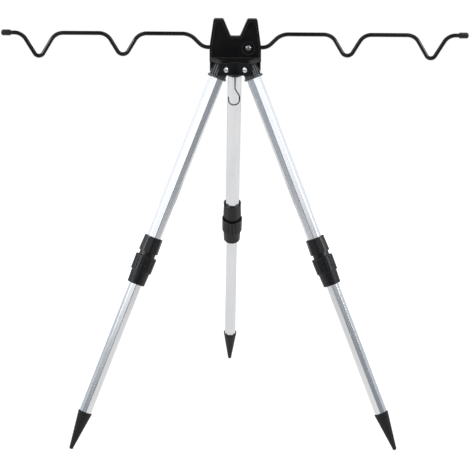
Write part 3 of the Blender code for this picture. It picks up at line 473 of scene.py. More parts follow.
def plated_steel(name, colour, gloss):
    """Plated steel, with faint polishing marks."""
    made = Finish(name, metallic=1.0)
    marks = made.noise(1500, 4.0, 0.6)
    darker = tuple(value * 0.86 for value in colour)
    made.colour(made.ramp(marks, [(0.3, darker), (0.7, colour)]))
    made.roughness(marks, gloss - 0.05, gloss + 0.07)
    made.bump(marks, 0.00001, 0.4)
    return made.material


def coated_wire():
    """Black dipped coating: glossy, with a slight orange peel and small changes of tone."""
    made = Finish("coated_wire")
    made.set(Specular_IOR_Level=0.44)
    made.colour(made.ramp(made.noise(130, 4.0), [(0.3, WIRE_DARK), (0.7, WIRE_LIGHT)]))
    made.roughness(made.noise(500, 3.0), 0.12, 0.22)
    made.bump(made.noise(620, 2.0), 0.00006, 0.35)
    made.bump(made.noise(2600, 2.0), 0.00002, 0.4)
    return made.material


def cap_rubber():
    """Black rubber, slightly glossy, with a fine grain."""
    made = Finish("cap_rubber")
    made.set(Specular_IOR_Level=0.50)
    made.colour(made.ramp(made.noise(300, 4.0), [(0.3, RUBBER_DARK), (0.7, RUBBER_LIGHT)]))
    made.roughness(made.noise(800, 4.0), 0.24, 0.38)
    made.bump(made.noise(3200, 3.0), 0.00003, 0.6)
    return made.material


def natural_nylon():
    """Undyed nylon of the pieces inside the legs."""
    made = Finish("natural_nylon")
    made.set(Subsurface_Weight=0.15, Subsurface_Scale=0.004)
    made.colour(made.ramp(made.noise(200, 3.0), [(0.3, NYLON_DARK), (0.7, NYLON_LIGHT)]))
    made.roughness(made.noise(600, 3.0), 0.42, 0.56)
    made.bump(made.noise(1800, 2.0), 0.00002, 0.4)
    return made.material


HEAD_PLASTIC = moulded_plastic(
    "head_plastic", MOULDED_DARK, MOULDED_LIGHT, gloss=0.34, shine=0.16, wear_and_sheen_reach=0.0008
)
HUB_PLASTIC = moulded_plastic(
    "hub_plastic", MOULDED_DARK, MOULDED_LIGHT, gloss=0.34, shine=0.16, wear_and_sheen_reach=0.0008, pale=0.030, top_light=PAINTED_TOP_LIGHT
)
FITTING_PLASTIC = moulded_plastic(
    "fitting_plastic", FITTING_DARK, FITTING_LIGHT, gloss=0.28, shine=0.9, wear_and_sheen_reach=0.0006
)
LOCK_PLASTIC = {side: ribbed_plastic(side) for side in SIDES}
SPIKE_PLASTIC = {side: spike_plastic(side) for side in SIDES}
TUBE_ALUMINIUM = {side: drawn_aluminium(side) for side in SIDES}
SCREW_CHROME = plated_steel("screw_chrome", CHROME, gloss=0.34)
# Darker copy of the chrome, as painted shade for the pivot screws in their dishes; the closing screws share it
SCREW_SHADED_CHROME = plated_steel("screw_shaded_chrome", SHADED_CHROME, gloss=0.34)
HOOK_STEEL = plated_steel("hook_steel", DARK_STEEL, gloss=0.30)
ARM_COATING = coated_wire()
CAP_RUBBER = cap_rubber()
INNER_NYLON = natural_nylon()


def dress(node, material):
    """Give a CAD node its finish."""
    for slot in frame["nodes"][node].material_slots:
        slot.material = material


def dress_frame():
    """Every CAD node's finish, also where a finer piece stands for it."""
    for node in ("head_front", "head_back"):
        dress(node, HEAD_PLASTIC)
    dress("hub", HUB_PLASTIC)
    for node in frame["nodes"]:
        if node.startswith("hinge_"):
            dress(node, SCREW_CHROME)
        elif "screw" in node:
            dress(node, SCREW_SHADED_CHROME)
    for node in ("hook", "hook_eyelet"):
        dress(node, HOOK_STEEL)
    for side in ARM_SIDES:
        dress("arm_" + side, ARM_COATING)
        dress("arm_cap_" + side, CAP_RUBBER)
    for side in SIDES:
        dress("leg_top_" + side, FITTING_PLASTIC)
        dress("upper_tube_" + side, TUBE_ALUMINIUM[side])
        dress("lower_tube_" + side, TUBE_ALUMINIUM[side])
        dress("lock_sleeve_" + side, LOCK_PLASTIC[side])
        dress("lock_nut_" + side, LOCK_PLASTIC[side])
        dress("lock_collet_" + side, INNER_NYLON)
        dress("guide_plug_" + side, INNER_NYLON)
        dress("foot_spike_" + side, SPIKE_PLASTIC[side])


# Working shapes


def turned(profile, steps, ring=False):
    """A profile of (radius, height) spun once about Z."""
    bm = bmesh.new()
    points = [bm.verts.new((radius, 0, height)) for radius, height in profile]
    lines = [bm.edges.new(pair) for pair in zip(points, points[1:])]
    if ring:
        lines.append(bm.edges.new((points[-1], points[0])))
    bmesh.ops.spin(
        bm, geom=points + lines, axis=UPRIGHT, cent=(0, 0, 0), angle=2 * pi, steps=steps, use_merge=True
    )
    bmesh.ops.remove_doubles(bm, verts=bm.verts, dist=WELD)
    return bm


def eight_sided(flats, corner_radius, level):
    """A flat eight-sided face with a flat towards +X and rounded corners."""
    bm = bmesh.new()
    half_corner = pi / TUBE_SIDES
    turn = Matrix.Translation((0, 0, level)) @ Matrix.Rotation(half_corner, 4, "Z")
    reach = flats / 2 / cos(half_corner)
    bmesh.ops.create_circle(bm, cap_ends=True, segments=TUBE_SIDES, radius=reach, matrix=turn)
    slide = corner_radius * tan(half_corner)
    bmesh.ops.bevel(
        bm, geom=bm.verts[:], offset=slide, segments=4, profile=0.5, affect="VERTICES", material=-1
    )
    return bm


def thickened(bm, depth):
    """A flat shape raised along Z into a solid."""
    made = bmesh.ops.extrude_face_region(bm, geom=bm.faces[:])
    raised = [part for part in made["geom"] if isinstance(part, bmesh.types.BMVert)]
    bmesh.ops.translate(bm, vec=(0, 0, depth), verts=raised)
    return bm


def block(low, high):
    """A box between two corners."""
    bm = bmesh.new()
    low = Vector(low)
    high = Vector(high)
    size = Matrix.Diagonal((*(high - low), 1))
    bmesh.ops.create_cube(bm, size=1, matrix=Matrix.Translation((low + high) / 2) @ size)
    return bm


def bent_bar(corners, radius, sides, bend_step):
    """A round bar led through corners (x, z, bend radius); each bend is spun about its own centre."""
    spots = [Vector((x, 0, z)) for x, z, _ in corners]
    heading = (spots[1] - spots[0]).normalized()
    here = spots[0]
    bm = bmesh.new()
    facing = Matrix.Translation(here) @ heading.to_track_quat("Z", "Y").to_matrix().to_4x4()
    bmesh.ops.create_circle(bm, cap_ends=True, segments=sides, radius=radius, matrix=facing)
    end = bm.faces[:]

    def lengthen(distance):
        made = bmesh.ops.extrude_face_region(bm, geom=end)
        moved = [part for part in made["geom"] if isinstance(part, bmesh.types.BMVert)]
        bmesh.ops.translate(bm, vec=heading * distance, verts=moved)
        return [part for part in made["geom"] if isinstance(part, bmesh.types.BMFace)]

    for i in range(1, len(spots) - 1):
        onward = (spots[i + 1] - spots[i]).normalized()
        turn = heading.angle(onward)
        slide = corners[i][2] * tan(turn / 2)
        end = lengthen((spots[i] - here).length - slide)
        here = spots[i] - heading * slide
        axis = heading.cross(onward).normalized()
        centre = here + axis.cross(heading) * corners[i][2]
        steps = max(2, round(turn / bend_step))
        made = bmesh.ops.spin(bm, geom=end, cent=centre, axis=axis, angle=turn, steps=steps)
        end = [part for part in made["geom_last"] if isinstance(part, bmesh.types.BMFace)]
        here = spots[i] + onward * slide
        heading = onward
    lengthen((spots[-1] - here).length)
    return bm


def shape(bm, place=None):
    """A working object made of a bmesh, set in its place."""
    if place is not None:
        bmesh.ops.transform(bm, matrix=place, verts=bm.verts)
    bmesh.ops.recalc_face_normals(bm, faces=bm.faces)
    mesh = bpy.data.meshes.new("shape")
    bm.to_mesh(mesh)
    bm.free()
    made = bpy.data.objects.new("shape", mesh)
    bpy.context.scene.collection.objects.link(made)
    return made


def moved(made, place):
    """The working object with its place worked into its mesh."""
    made.data.transform(place)
    return made


def combined(first, others, operation="DIFFERENCE"):
    """The first working object with the others cut out of it, or joined to it."""
    for other in others:
        step = first.modifiers.new("combine", "BOOLEAN")
        step.operation = operation
        step.solver = "EXACT"
        step.object = other
    graph = bpy.context.evaluated_depsgraph_get()
    first.data = bpy.data.meshes.new_from_object(first.evaluated_get(graph))
    first.modifiers.clear()
    for other in others:
        bpy.data.objects.remove(other)
    return first


def welded(node):
    """A working copy of a CAD node, welded, with its flat faces whole again."""
    bm = bmesh.new()
    bm.from_mesh(frame["nodes"][node].data)
    bmesh.ops.remove_doubles(bm, verts=bm.verts, dist=WELD)
    bmesh.ops.dissolve_limit(bm, angle_limit=radians(1), verts=bm.verts, edges=bm.edges)
    return shape(bm)


def finished(name, made, material, node, edge=0.0, segments=2, sharp=32):
    """A working object as a piece: named, finished, edges rounded, riding where its CAD node rides."""
    made.name = name
    made.data.name = name
    made.data.materials.clear()
    made.data.materials.append(material)
    made.data.shade_smooth()
    if edge:
        rounding = made.modifiers.new("rounding", "BEVEL")
        rounding.width = edge
        rounding.segments = segments
        rounding.limit_method = "ANGLE"
        rounding.angle_limit = radians(sharp)
        rounding.miter_outer = "MITER_ARC"
    else:
        made.data.set_sharp_from_angle(angle=radians(sharp))
    even = made.modifiers.new("even_normals", "WEIGHTED_NORMAL")
    even.keep_sharp = not edge
    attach(made, BODY_OF[node])
    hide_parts(node)
    return made


# Head and hub


def shells():
    """Both halves of the head and the hub, with rounded moulded edges."""
    finished("front_shell", welded("head_front"), HEAD_PLASTIC, "head_front", edge=SHELL_ROUNDING)
    finished("back_shell", welded("head_back"), HEAD_PLASTIC, "head_back", edge=SHELL_ROUNDING)
    finished("hub_moulding", welded("hub"), HUB_PLASTIC, "hub", edge=HUB_ROUNDING)


def cross_slot(width, reach, top, floor):
    """Two tapered blades crossed at right angles: the driver's recess of a screw."""
    blades = []
    for turn in (0, pi / 2):
        bm = block((-reach, -width / 2, floor), (reach, width / 2, top))
        low = [point for point in bm.verts if point.co.z < (floor + top) / 2]
        bmesh.ops.scale(bm, vec=SLOT_TAPER, verts=low)
        blades.append(shape(bm, Matrix.Rotation(turn, 4, "Z")))
    return blades


def pan_head(name, node, place, head_radius, head_height, shank_radius, length, turn):
    """A pan head screw with a cross recess, standing on its seat at z = 0 in its own place."""
    edge = head_height * HEAD_EDGE_SHARE
    profile = [(0, head_height)]
    for k in range(1, 9):
        angle = pi / 2 * k / 8
        profile.append((head_radius * sin(angle), edge + (head_height - edge) * cos(angle)))
    profile += [
        (head_radius, SCREW_EDGE), (head_radius - SCREW_EDGE, 0), (shank_radius, 0),
        (shank_radius, -length + SCREW_CHAMFER), (shank_radius - SCREW_CHAMFER, -length), (0, -length),
    ]
    made = shape(turned(profile, 48))
    width = head_radius * SLOT_WIDTH_SHARE
    reach = head_radius * SLOT_REACH_SHARE
    blades = cross_slot(width, reach, head_height + PAST, head_height * SLOT_FLOOR_SHARE)
    made = combined(made, blades)
    bm = bmesh.new()
    bm.from_mesh(made.data)
    bpy.data.objects.remove(made)
    spun = place @ Matrix.Rotation(turn, 4, "Z")
    finish = SCREW_CHROME if node.startswith("hinge_") else SCREW_SHADED_CHROME
    return finished(name, shape(bm, spun), finish, node, edge=SCREW_ROUNDING)


def place_on(origin, out, up):
    """A place whose Z runs along `out` and whose X is as near to `up` as can be."""
    out = Vector(out).normalized()
    side = Vector(up).cross(out).normalized()
    turn = Matrix((side.cross(out) * -1, side, out)).transposed()
    return Matrix.Translation(origin) @ turn.to_4x4()


def screws():
    """The five M4 screws that things turn on and the four small ones that close the head."""
    for side, sign in SIGN.items():
        out = (0, -sign, 0)
        seat = SCREW_SEATS[side]
        spot = HEAD_PLACE @ Vector((sign * ARM_PIVOT_X, seat, ARM_PIVOT_Z))
        pan_head("pivot_screw_" + side, "arm_screw_" + side, place_on(spot, out, UPRIGHT),
                 M4_HEAD_RADIUS, ARM_SCREW_HEAD, M4_RADIUS, ARM_SCREW_LENGTH, radians(38))
    for i, (x, z) in enumerate(SHELL_SCREW_PLACES):
        spot = HEAD_PLACE @ Vector((x, SHELL_SEAT, z))
        pan_head(f"closing_screw_{i + 1}", f"shell_screw_{i + 1}", place_on(spot, (0, 1, 0), UPRIGHT),
                 SHELL_HEAD_RADIUS, SHELL_HEAD_HEIGHT, SHELL_SHANK_RADIUS, SHELL_SCREW_LENGTH,
                 radians(17 + 61 * i))
    for side, cheek in FRONT_CHEEK.items():
        leg = LEG_PLACE[side]
        out = leg.to_3x3() @ Vector((0, cheek, 0))
        spot = leg @ Vector((0, cheek * (LOBE_HALF_WIDTH + GAP), 0))
        pan_head("axle_screw_" + side, "hinge_screw_" + side, place_on(spot, out, UPRIGHT),
                 M4_HEAD_RADIUS, HINGE_SCREW_HEAD, M4_RADIUS, 2 * LOBE_HALF_WIDTH + GAP,
                 radians(24 + 47 * cheek))
        nut = "hinge_nut_" + side
        finished("axle_nut_" + side, welded(nut), SCREW_CHROME, nut, edge=HINGE_NUT_ROUNDING)


# Legs


def leg_fittings():
    """The ribbed fittings that the legs turn by."""
    for side in SIDES:
        node = "leg_top_" + side
        finished("leg_fitting_" + side, welded(node), FITTING_PLASTIC, node, edge=FITTING_ROUNDING)


def drawn_tube(name, node, side, flats, top, bottom):
    """An eight-sided drawn tube, with its bore and its corners rounded."""
    bm = eight_sided(flats, TUBE_CORNER, -bottom)
    ring = bmesh.ops.inset_region(
        bm, faces=bm.faces[:], thickness=TUBE_WALL, use_boundary=True, use_even_offset=True
    )
    middle = [face for face in bm.faces if face not in ring["faces"]]
    bmesh.ops.delete(bm, geom=middle, context="FACES_ONLY")
    thickened(bm, bottom - top)
    made = shape(bm, LEG_PLACE[side])
    return finished(name, made, TUBE_ALUMINIUM[side], node, edge=TUBE_ROUNDING, sharp=60)


def sleeve(side):
    """The tapered eight-sided sleeve of a twist lock, with its neck and its two bores."""
    foot = eight_sided(SLEEVE_FOOT_FLATS, SLEEVE_CORNER, -SLEEVE_BOTTOM)
    prism = thickened(foot, SLEEVE_BOTTOM - SLEEVE_TOP)
    high = [point for point in prism.verts if point.co.z > -SLEEVE_TOP - WELD]
    draft = SLEEVE_TOP_FLATS / SLEEVE_FOOT_FLATS
    bmesh.ops.scale(prism, vec=(draft, draft, 1), verts=high)
    body = shape(prism)
    root = -SLEEVE_BOTTOM + PAST
    shoulder = -NUT_TOP + GAP
    neck = shape(turned([
        (0, root), (COLLAR_RADIUS, root), (COLLAR_RADIUS, shoulder), (NECK_RADIUS, shoulder),
        (NECK_RADIUS, -NECK_END), (0, -NECK_END),
    ], 48))
    wide = eight_sided(UPPER_TUBE_FLATS + SLIDING_FIT, BORE_CORNER, -UPPER_TUBE_END - GAP)
    slim = eight_sided(LOWER_TUBE_FLATS + SLIDING_FIT, BORE_CORNER, -NECK_END - PAST)
    wide_bore = shape(thickened(wide, UPPER_TUBE_END - SLEEVE_TOP + PAST))
    slim_bore = shape(thickened(slim, NECK_END - SLEEVE_TOP + 2 * PAST))
    made = combined(combined(body, [neck], "UNION"), [wide_bore, slim_bore])
    node = "lock_sleeve_" + side
    made = moved(made, LEG_PLACE[side])
    return finished("lock_collar_" + side, made, LOCK_PLASTIC[side], node, edge=SLEEVE_ROUNDING, segments=3)


def twist_nut(side):
    """The nut of a twist lock: a tapered grip with lengthwise grooves, and a smooth cone below."""
    bore = NECK_RADIUS + GAP
    shoulder = -COLLET_END - GAP
    body = shape(turned([
        (bore, -NUT_TOP), (NUT_TOP_RADIUS - NUT_EDGE, -NUT_TOP), (NUT_TOP_RADIUS, -NUT_TOP - NUT_EDGE),
        (NUT_STEP_RADIUS, -NUT_STEP + NUT_EDGE),
        (NUT_STEP_RADIUS - NUT_STEP_EDGE, -NUT_STEP + NUT_STEP_DROP),
        (NUT_CONE_RADIUS + NUT_FILLET, -NUT_STEP), (NUT_CONE_RADIUS, -NUT_STEP - NUT_FILLET_DROP),
        (NUT_END_RADIUS, -NUT_BOTTOM + NUT_END_RISE), (NUT_END_RADIUS - NUT_EDGE, -NUT_BOTTOM),
        (NUT_MOUTH_RADIUS, -NUT_BOTTOM), (NUT_MOUTH_RADIUS, shoulder), (bore, shoulder),
    ], 96, ring=True))
    lean = atan2(NUT_TOP_RADIUS - NUT_STEP_RADIUS, NUT_STEP - NUT_TOP)
    middle = -(NUT_TOP + NUT_STEP) / 2
    grip_radius = (NUT_TOP_RADIUS + NUT_STEP_RADIUS) / 2
    length = NUT_STEP - NUT_TOP - 2 * NUT_GROOVE_MARGIN
    grooves = []
    for k in range(NUT_RIBS):
        bm = bmesh.new()
        wide = NUT_GROOVE_RADIUS
        bmesh.ops.create_cone(bm, cap_ends=True, segments=12, radius1=wide, radius2=wide, depth=length)
        ends = [edge for edge in bm.edges if edge.calc_face_angle() > 1.2]
        bmesh.ops.bevel(
            bm, geom=ends, offset=wide * 0.6, segments=3, profile=0.5, affect="EDGES", material=-1
        )
        out = Matrix.Translation((grip_radius, 0, middle)) @ Matrix.Rotation(lean, 4, "Y")
        grooves.append(shape(bm, Matrix.Rotation(2 * pi * k / NUT_RIBS, 4, "Z") @ out))
    made = moved(combined(body, grooves), LEG_PLACE[side])
    node = "lock_nut_" + side
    return finished("twist_nut_" + side, made, LOCK_PLASTIC[side], node, edge=TWIST_NUT_ROUNDING)


def spike(side):
    """The pointed foot with its round plug, the point rounded off."""
    slope = atan2(SPIKE_RADIUS - POINT_RADIUS, POINT_CENTRE - SPIKE_TOP)
    plug_top = -SPIKE_TOP + SPIKE_PLUG
    profile = [(0, plug_top), (SPIKE_PLUG_RADIUS, plug_top), (SPIKE_PLUG_RADIUS, -SPIKE_TOP)]
    for k in range(5):
        angle = pi / 2 * k / 4
        radius = SPIKE_RADIUS - SPIKE_RIM * (1 - sin(angle))
        profile.append((radius, -SPIKE_TOP - SPIKE_RIM * (1 - cos(angle))))
    for k in range(9):
        angle = (pi / 2 + slope) * k / 8 - slope
        profile.append((POINT_RADIUS * cos(angle), -POINT_CENTRE - POINT_RADIUS * sin(angle)))
    made = shape(turned(profile, 64), LEG_PLACE[side])
    return finished("pointed_foot_" + side, made, SPIKE_PLASTIC[side], "foot_spike_" + side)


def legs():
    """The three legs from their fittings down to their feet."""
    leg_fittings()
    for side in SIDES:
        drawn_tube("outer_tube_" + side, "upper_tube_" + side, side, UPPER_TUBE_FLATS,
                   FLANGE_BOTTOM + GAP, UPPER_TUBE_END)
        drawn_tube("inner_tube_" + side, "lower_tube_" + side, side, LOWER_TUBE_FLATS,
                   LOWER_TUBE_TOP, SPIKE_TOP - GAP)
        sleeve(side)
        twist_nut(side)
        spike(side)


# Arms and hook


def arm_path():
    """The arm's centre line from its eye outwards: a jog up, then two V rests."""
    run = ARM_RUN_Z - ARM_PIVOT_Z
    jog = JOG_BEND_X - ARM_PIVOT_X
    corners = [(M4_RADIUS + WIRE_RADIUS, 0, 0), (jog, 0, JOG_LOW_BEND), (jog + run, run, JOG_HIGH_BEND)]
    for rest, lowest, bend_radius in RESTS:
        x = rest - ARM_PIVOT_X
        point = lowest - ARM_PIVOT_Z - bend_radius * (1 / cos(REST_LIMB_ANGLE) - 1)
        half = (run - point) / tan(REST_LIMB_ANGLE)
        corners.append((x - half, run, TOP_BEND_RADIUS))
        corners.append((x, point, bend_radius))
        corners.append((x + half, run, TOP_BEND_RADIUS))
    corners.append((ARM_END_X - ARM_PIVOT_X - CAP_HOLLOW, run, 0))
    return corners


def wire_arm(side):
    """One coated wire arm with the flat eye that turns on its screw."""
    half = EYE_THICKNESS / 2
    hole = M4_RADIUS + GAP
    bar = shape(bent_bar(arm_path(), WIRE_RADIUS, 28, radians(5)))
    eye = shape(turned([
        (hole, half), (EYE_RADIUS - EYE_EDGE, half), (EYE_RADIUS, half - EYE_EDGE),
        (EYE_RADIUS, EYE_EDGE - half), (EYE_RADIUS - EYE_EDGE, -half), (hole, -half),
    ], 64, ring=True), Matrix.Rotation(radians(90), 4, "X"))
    made = moved(combined(bar, [eye], "UNION"), ARM_PLACE[side])
    return finished("bent_arm_" + side, made, ARM_COATING, "arm_" + side, sharp=40)


def end_cap(side):
    """The rounded rubber cap on an arm's end."""
    room = WIRE_RADIUS + GAP
    profile = [(0, CAP_LENGTH)]
    for k in range(1, 9):
        angle = pi / 2 * k / 8
        profile.append((CAP_RADIUS * sin(angle), CAP_LENGTH - CAP_DOME * (1 - cos(angle))))
    profile += [
        (CAP_RADIUS, CAP_LIP), (CAP_RADIUS - CAP_LIP_MIDDLE, CAP_LIP_MIDDLE), (CAP_RADIUS - CAP_LIP, 0),
        (room, 0), (room, CAP_LENGTH - CAP_HOLLOW + GAP), (0, CAP_LENGTH - CAP_HOLLOW + GAP),
    ]
    spot = Matrix.Translation((ARM_END_X - CAP_LENGTH - ARM_PIVOT_X, 0, ARM_RUN_Z - ARM_PIVOT_Z))
    place = ARM_PLACE[side] @ spot @ Matrix.Rotation(radians(90), 4, "Y")
    made = shape(turned(profile, 48), place)
    return finished("end_cap_" + side, made, CAP_RUBBER, "arm_cap_" + side)


def swivel_hook():
    """The bent hook with the button that holds it, and the eyelet that it turns in."""
    high = HOOK_TOP + BUTTON_HALF
    low = HOOK_TOP - BUTTON_HALF
    button = shape(turned([
        (0, high), (BUTTON_RADIUS - BUTTON_EDGE, high), (BUTTON_RADIUS, high - BUTTON_EDGE),
        (BUTTON_RADIUS, low), (0, low),
    ], 32))
    bar = shape(bent_bar(HOOK_CORNERS, HOOK_RADIUS, 20, radians(8)))
    made = moved(combined(bar, [button], "UNION"), HEAD_PLACE)
    finished("wire_hook", made, HOOK_STEEL, "hook", edge=HOOK_ROUNDING)
    hole = HOOK_RADIUS + GAP
    top = low - GAP
    seat = -BOSS_BOTTOM - GAP
    end = seat - EYELET_DEPTH
    ring = turned([
        (hole, top), (EYELET_RADIUS, top), (EYELET_RADIUS, seat), (EYELET_RIM - EYELET_EDGE, seat),
        (EYELET_RIM, seat - EYELET_EDGE), (EYELET_RIM, seat - EYELET_RIM_DEPTH), (EYELET_TIP, end),
        (hole, end),
    ], 40, ring=True)
    finished("swivel_eyelet", shape(ring, HEAD_PLACE), HOOK_STEEL, "hook_eyelet", edge=EYELET_ROUNDING)


def arms():
    """Both arms with their end caps."""
    for side in ARM_SIDES:
        wire_arm(side)
        end_cap(side)


# Studio

FLOOR_RADIUS = 1.25
# The floor's own glow rises between these distances from its middle
FLOOR_FADE = (0.45, 1.0)
# Mirrored, the floor is dark in front of the object and pale from here on back
FLOOR_MIRROR = (-0.90, -0.15)
FLOOR_TONE = 0.50
FLOOR_GLOW = 0.62
FLOOR_SHEEN = 0.30
ROOM_LIGHT = 0.62
ROOM_SIDES = 0.62
ROOM_FRONT = 0.25
ROOM_BACK = 0.60
ROOM_MIDDLE = 0.22
ROOM_BELOW = 0.44
ROOM_BELOW_LEFT = 0.68
ROOM_TINT = (0.87, 0.95, 1.06)
# The directions, as parts of a unit vector, between which the mirrored room changes its level
MIDDLE_EDGE = (0.12, 0.36)
SIDE_EDGE = (0.55, 0.80)
BEHIND_ASIDE = (0.05, 0.20)
BEHIND_EDGE = (0.25, 0.70)
LEFT_EDGE = (-0.70, -0.30)
HORIZON = (-0.16, 0.10)

# The lamps: places and aims are of the right side, and the left side mirrors them
PANEL_PLACE = (1.45, 0.60, 1.00)
PANEL_AIM = (0, -0.1, 0.45)
PANEL_SIZE = (1.2, 1.0)
PANEL_LEVEL = {"left": 0.56, "right": 0.43}
FRONT_ASIDE = 0.85
FRONT_AWAY = -1.75
FRONT_RISE = {"left": 1.25, "right": 1.385}
FRONT_AIM = (0.1, -0.1, 0.4)
FRONT_WIDTH = 0.9
FRONT_HEIGHT = {"left": 1.15, "right": 0.90}
FRONT_LEVEL = 1.10
STRIP_PLACE = (1.47, -0.67, 0.98)
STRIP_AIM = (0.12, -0.14, 0.5)
STRIP_SIZE = (1.2, 0.34)
STRIP_LEVEL = 7.0
OVERHEAD_PLACE = (1.05, 0.0, 3.0)
OVERHEAD_AIM = (0, 0, 0.5)
OVERHEAD_SIZE = (0.9, 1.2)
OVERHEAD_LEVEL = {"left": 1.8, "right": 3.4}


def seen_directly(tree):
    """The rays' kinds, and 1 for rays from the camera, straight or through clear things, else 0."""
    rays = tree.nodes.new("ShaderNodeLightPath")
    either = tree.nodes.new("ShaderNodeMath")
    either.operation = "MAXIMUM"
    tree.links.new(rays.outputs["Is Camera Ray"], either.inputs[0])
    tree.links.new(rays.outputs["Is Transmission Ray"], either.inputs[1])
    return rays, either.outputs[0]


def eased(tree, value, bounds, low, high):
    """A level that eases from one value to another while the input passes between two bounds."""
    made = tree.nodes.new("ShaderNodeMapRange")
    made.interpolation_type = "SMOOTHSTEP"
    made.inputs["From Min"].default_value = bounds[0]
    made.inputs["From Max"].default_value = bounds[1]
    for name, number in (("To Min", low), ("To Max", high)):
        if isinstance(number, bpy.types.NodeSocket):
            tree.links.new(number, made.inputs[name])
        else:
            made.inputs[name].default_value = number
    tree.links.new(value, made.inputs["Value"])
    return made.outputs["Result"]


def worked_out(tree, operation, first, second):
    """A sum, product or other result of two values, each given as an output or a number."""
    made = tree.nodes.new("ShaderNodeMath")
    made.operation = operation
    for socket, value in zip(made.inputs, (first, second)):
        if isinstance(value, bpy.types.NodeSocket):
            tree.links.new(value, socket)
        else:
            socket.default_value = value
    return made.outputs[0]


def floor_material():
    """A pale floor that reads as plain white, and still takes the tripod's soft shadow."""
    made = bpy.data.materials.new("floor")
    made.use_nodes = True
    tree = made.node_tree
    tree.nodes.clear()
    link = tree.links.new
    where = tree.nodes.new("ShaderNodeTexCoord")
    reach = tree.nodes.new("ShaderNodeVectorMath")
    reach.operation = "LENGTH"
    link(where.outputs["Object"], reach.inputs[0])
    rays, direct = seen_directly(tree)
    place = tree.nodes.new("ShaderNodeSeparateXYZ")
    link(where.outputs["Object"], place.inputs[0])
    own = eased(tree, reach.outputs["Value"], FLOOR_FADE, FLOOR_GLOW, 1.0)
    mirrored = eased(tree, place.outputs["Y"], FLOOR_MIRROR, 0.0, FLOOR_SHEEN)
    to_camera = worked_out(tree, "MULTIPLY", direct, own)
    to_mirrors = worked_out(tree, "MULTIPLY", rays.outputs["Is Glossy Ray"], mirrored)
    level = worked_out(tree, "ADD", to_camera, to_mirrors)
    paint = tree.nodes.new("ShaderNodeBsdfDiffuse")
    paint.inputs["Color"].default_value = (FLOOR_TONE, FLOOR_TONE, FLOOR_TONE, 1)
    glow = tree.nodes.new("ShaderNodeEmission")
    both = tree.nodes.new("ShaderNodeAddShader")
    out = tree.nodes.new("ShaderNodeOutputMaterial")
    link(level, glow.inputs["Strength"])
    link(paint.outputs[0], both.inputs[0])
    link(glow.outputs[0], both.inputs[1])
    link(both.outputs[0], out.inputs["Surface"])
    return made


def floor():
    """The round floor that the feet stand on."""
    bm = bmesh.new()
    bmesh.ops.create_circle(bm, cap_ends=True, segments=96, radius=FLOOR_RADIUS)
    mesh = bpy.data.meshes.new("floor")
    bm.to_mesh(mesh)
    bm.free()
    made = bpy.data.objects.new("floor", mesh)
    mesh.materials.append(floor_material())
    bpy.context.scene.collection.objects.link(made)


def room():
    """The world: white to the camera, and an even light on everything.

    Mirrored, it is brightest at the sides and behind, and dim in front. It is darker below the horizon.
    """
    world = bpy.data.worlds.new("room")
    bpy.context.scene.world = world
    world.use_nodes = True
    tree = world.node_tree
    tree.nodes.clear()
    link = tree.links.new
    direction = tree.nodes.new("ShaderNodeTexCoord")
    split = tree.nodes.new("ShaderNodeSeparateXYZ")
    link(direction.outputs["Generated"], split.inputs[0])
    aside = worked_out(tree, "ABSOLUTE", split.outputs["X"], 0.0)
    walls = eased(tree, aside, MIDDLE_EDGE, ROOM_MIDDLE, ROOM_FRONT)
    far = worked_out(tree, "MAXIMUM", walls, eased(tree, aside, SIDE_EDGE, 0.0, ROOM_SIDES))
    off_middle = eased(tree, aside, BEHIND_ASIDE, 0.0, 1.0)
    back_wall = eased(tree, split.outputs["Y"], BEHIND_EDGE, 0.0, ROOM_BACK)
    behind = worked_out(tree, "MULTIPLY", off_middle, back_wall)
    around = worked_out(tree, "MAXIMUM", far, behind)
    below = eased(tree, split.outputs["X"], LEFT_EDGE, ROOM_BELOW_LEFT, ROOM_BELOW)
    height = eased(tree, split.outputs["Z"], HORIZON, below, 1.0)
    mirrored = worked_out(tree, "MULTIPLY", around, height)
    rays, direct = seen_directly(tree)
    soft = tree.nodes.new("ShaderNodeMix")
    soft.data_type = "FLOAT"
    soft.inputs["A"].default_value = ROOM_LIGHT
    link(rays.outputs["Is Glossy Ray"], soft.inputs["Factor"])
    link(mirrored, soft.inputs["B"])
    shade = tree.nodes.new("ShaderNodeMix")
    shade.data_type = "FLOAT"
    shade.inputs["B"].default_value = 1.0
    tint = tree.nodes.new("ShaderNodeMix")
    tint.data_type = "RGBA"
    tint.inputs["A"].default_value = (*WHITE, 1)
    tint.inputs["B"].default_value = (*ROOM_TINT, 1)
    link(rays.outputs["Is Glossy Ray"], tint.inputs["Factor"])
    light = tree.nodes.new("ShaderNodeBackground")
    link(tint.outputs["Result"], light.inputs["Color"])
    out = tree.nodes.new("ShaderNodeOutputWorld")
    link(direct, shade.inputs["Factor"])
    link(soft.outputs["Result"], shade.inputs["A"])
    link(shade.outputs["Result"], light.inputs["Strength"])
    link(light.outputs[0], out.inputs["Surface"])


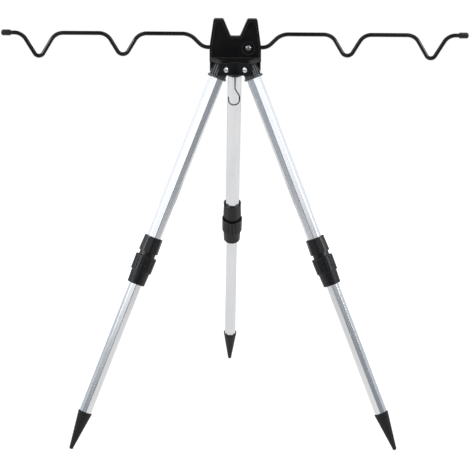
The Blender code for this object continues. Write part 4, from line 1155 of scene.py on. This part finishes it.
def softbox(kind, side, place, aim, size, level):
    """An even panel of light at one side, as bright as its level where it is mirrored."""
    sign = SIGN[side]
    here = Vector((sign * place[0], place[1], place[2]))
    target = Vector((sign * aim[0], aim[1], aim[2]))
    name = kind + "_" + side
    lamp = bpy.data.lights.new(name, "AREA")
    lamp.shape = "RECTANGLE"
    lamp.size, lamp.size_y = size
    lamp.energy = level * pi * size[0] * size[1]
    made = bpy.data.objects.new(name, lamp)
    made.location = here
    made.rotation_euler = (target - here).to_track_quat("-Z", "Y").to_euler()
    made.visible_camera = False
    bpy.context.scene.collection.objects.link(made)


def studio():
    """The floor, the room and four lamps at each side."""
    floor()
    room()
    for side in ARM_SIDES:
        front_place = (FRONT_ASIDE, FRONT_AWAY, FRONT_RISE[side])
        front_size = (FRONT_WIDTH, FRONT_HEIGHT[side])
        softbox("panel", side, PANEL_PLACE, PANEL_AIM, PANEL_SIZE, PANEL_LEVEL[side])
        softbox("front", side, front_place, FRONT_AIM, front_size, FRONT_LEVEL)
        softbox("strip", side, STRIP_PLACE, STRIP_AIM, STRIP_SIZE, STRIP_LEVEL)
        softbox("overhead", side, OVERHEAD_PLACE, OVERHEAD_AIM, OVERHEAD_SIZE, OVERHEAD_LEVEL[side])


def camera():
    """The camera at the photo's place, turned by its pan, tilt and roll."""
    lens = bpy.data.cameras.new("camera")
    lens.lens = CAMERA_LENS_MM
    lens.sensor_width = CAMERA_SENSOR_MM
    lens.clip_start, lens.clip_end = CAMERA_CLIP
    flat = cos(CAMERA_TILT)
    forward = Vector((sin(CAMERA_PAN) * flat, cos(CAMERA_PAN) * flat, -sin(CAMERA_TILT)))
    level = Vector((cos(CAMERA_PAN), -sin(CAMERA_PAN), 0))
    above = level.cross(forward)
    right = cos(CAMERA_ROLL) * level + sin(CAMERA_ROLL) * above
    up = -sin(CAMERA_ROLL) * level + cos(CAMERA_ROLL) * above
    made = bpy.data.objects.new("camera", lens)
    turn = Matrix((right, up, -forward)).transposed().to_4x4()
    made.matrix_world = Matrix.Translation(CAMERA_PLACE) @ turn
    bpy.context.scene.collection.objects.link(made)
    bpy.context.scene.camera = made


def size_file():
    """Brings the scene's places up to date."""
    bpy.context.view_layer.update()


dress_frame()
shells()
screws()
legs()
arms()
swivel_hook()
studio()
camera()
bpy.context.scene.view_settings.view_transform = "Standard"
size_file()
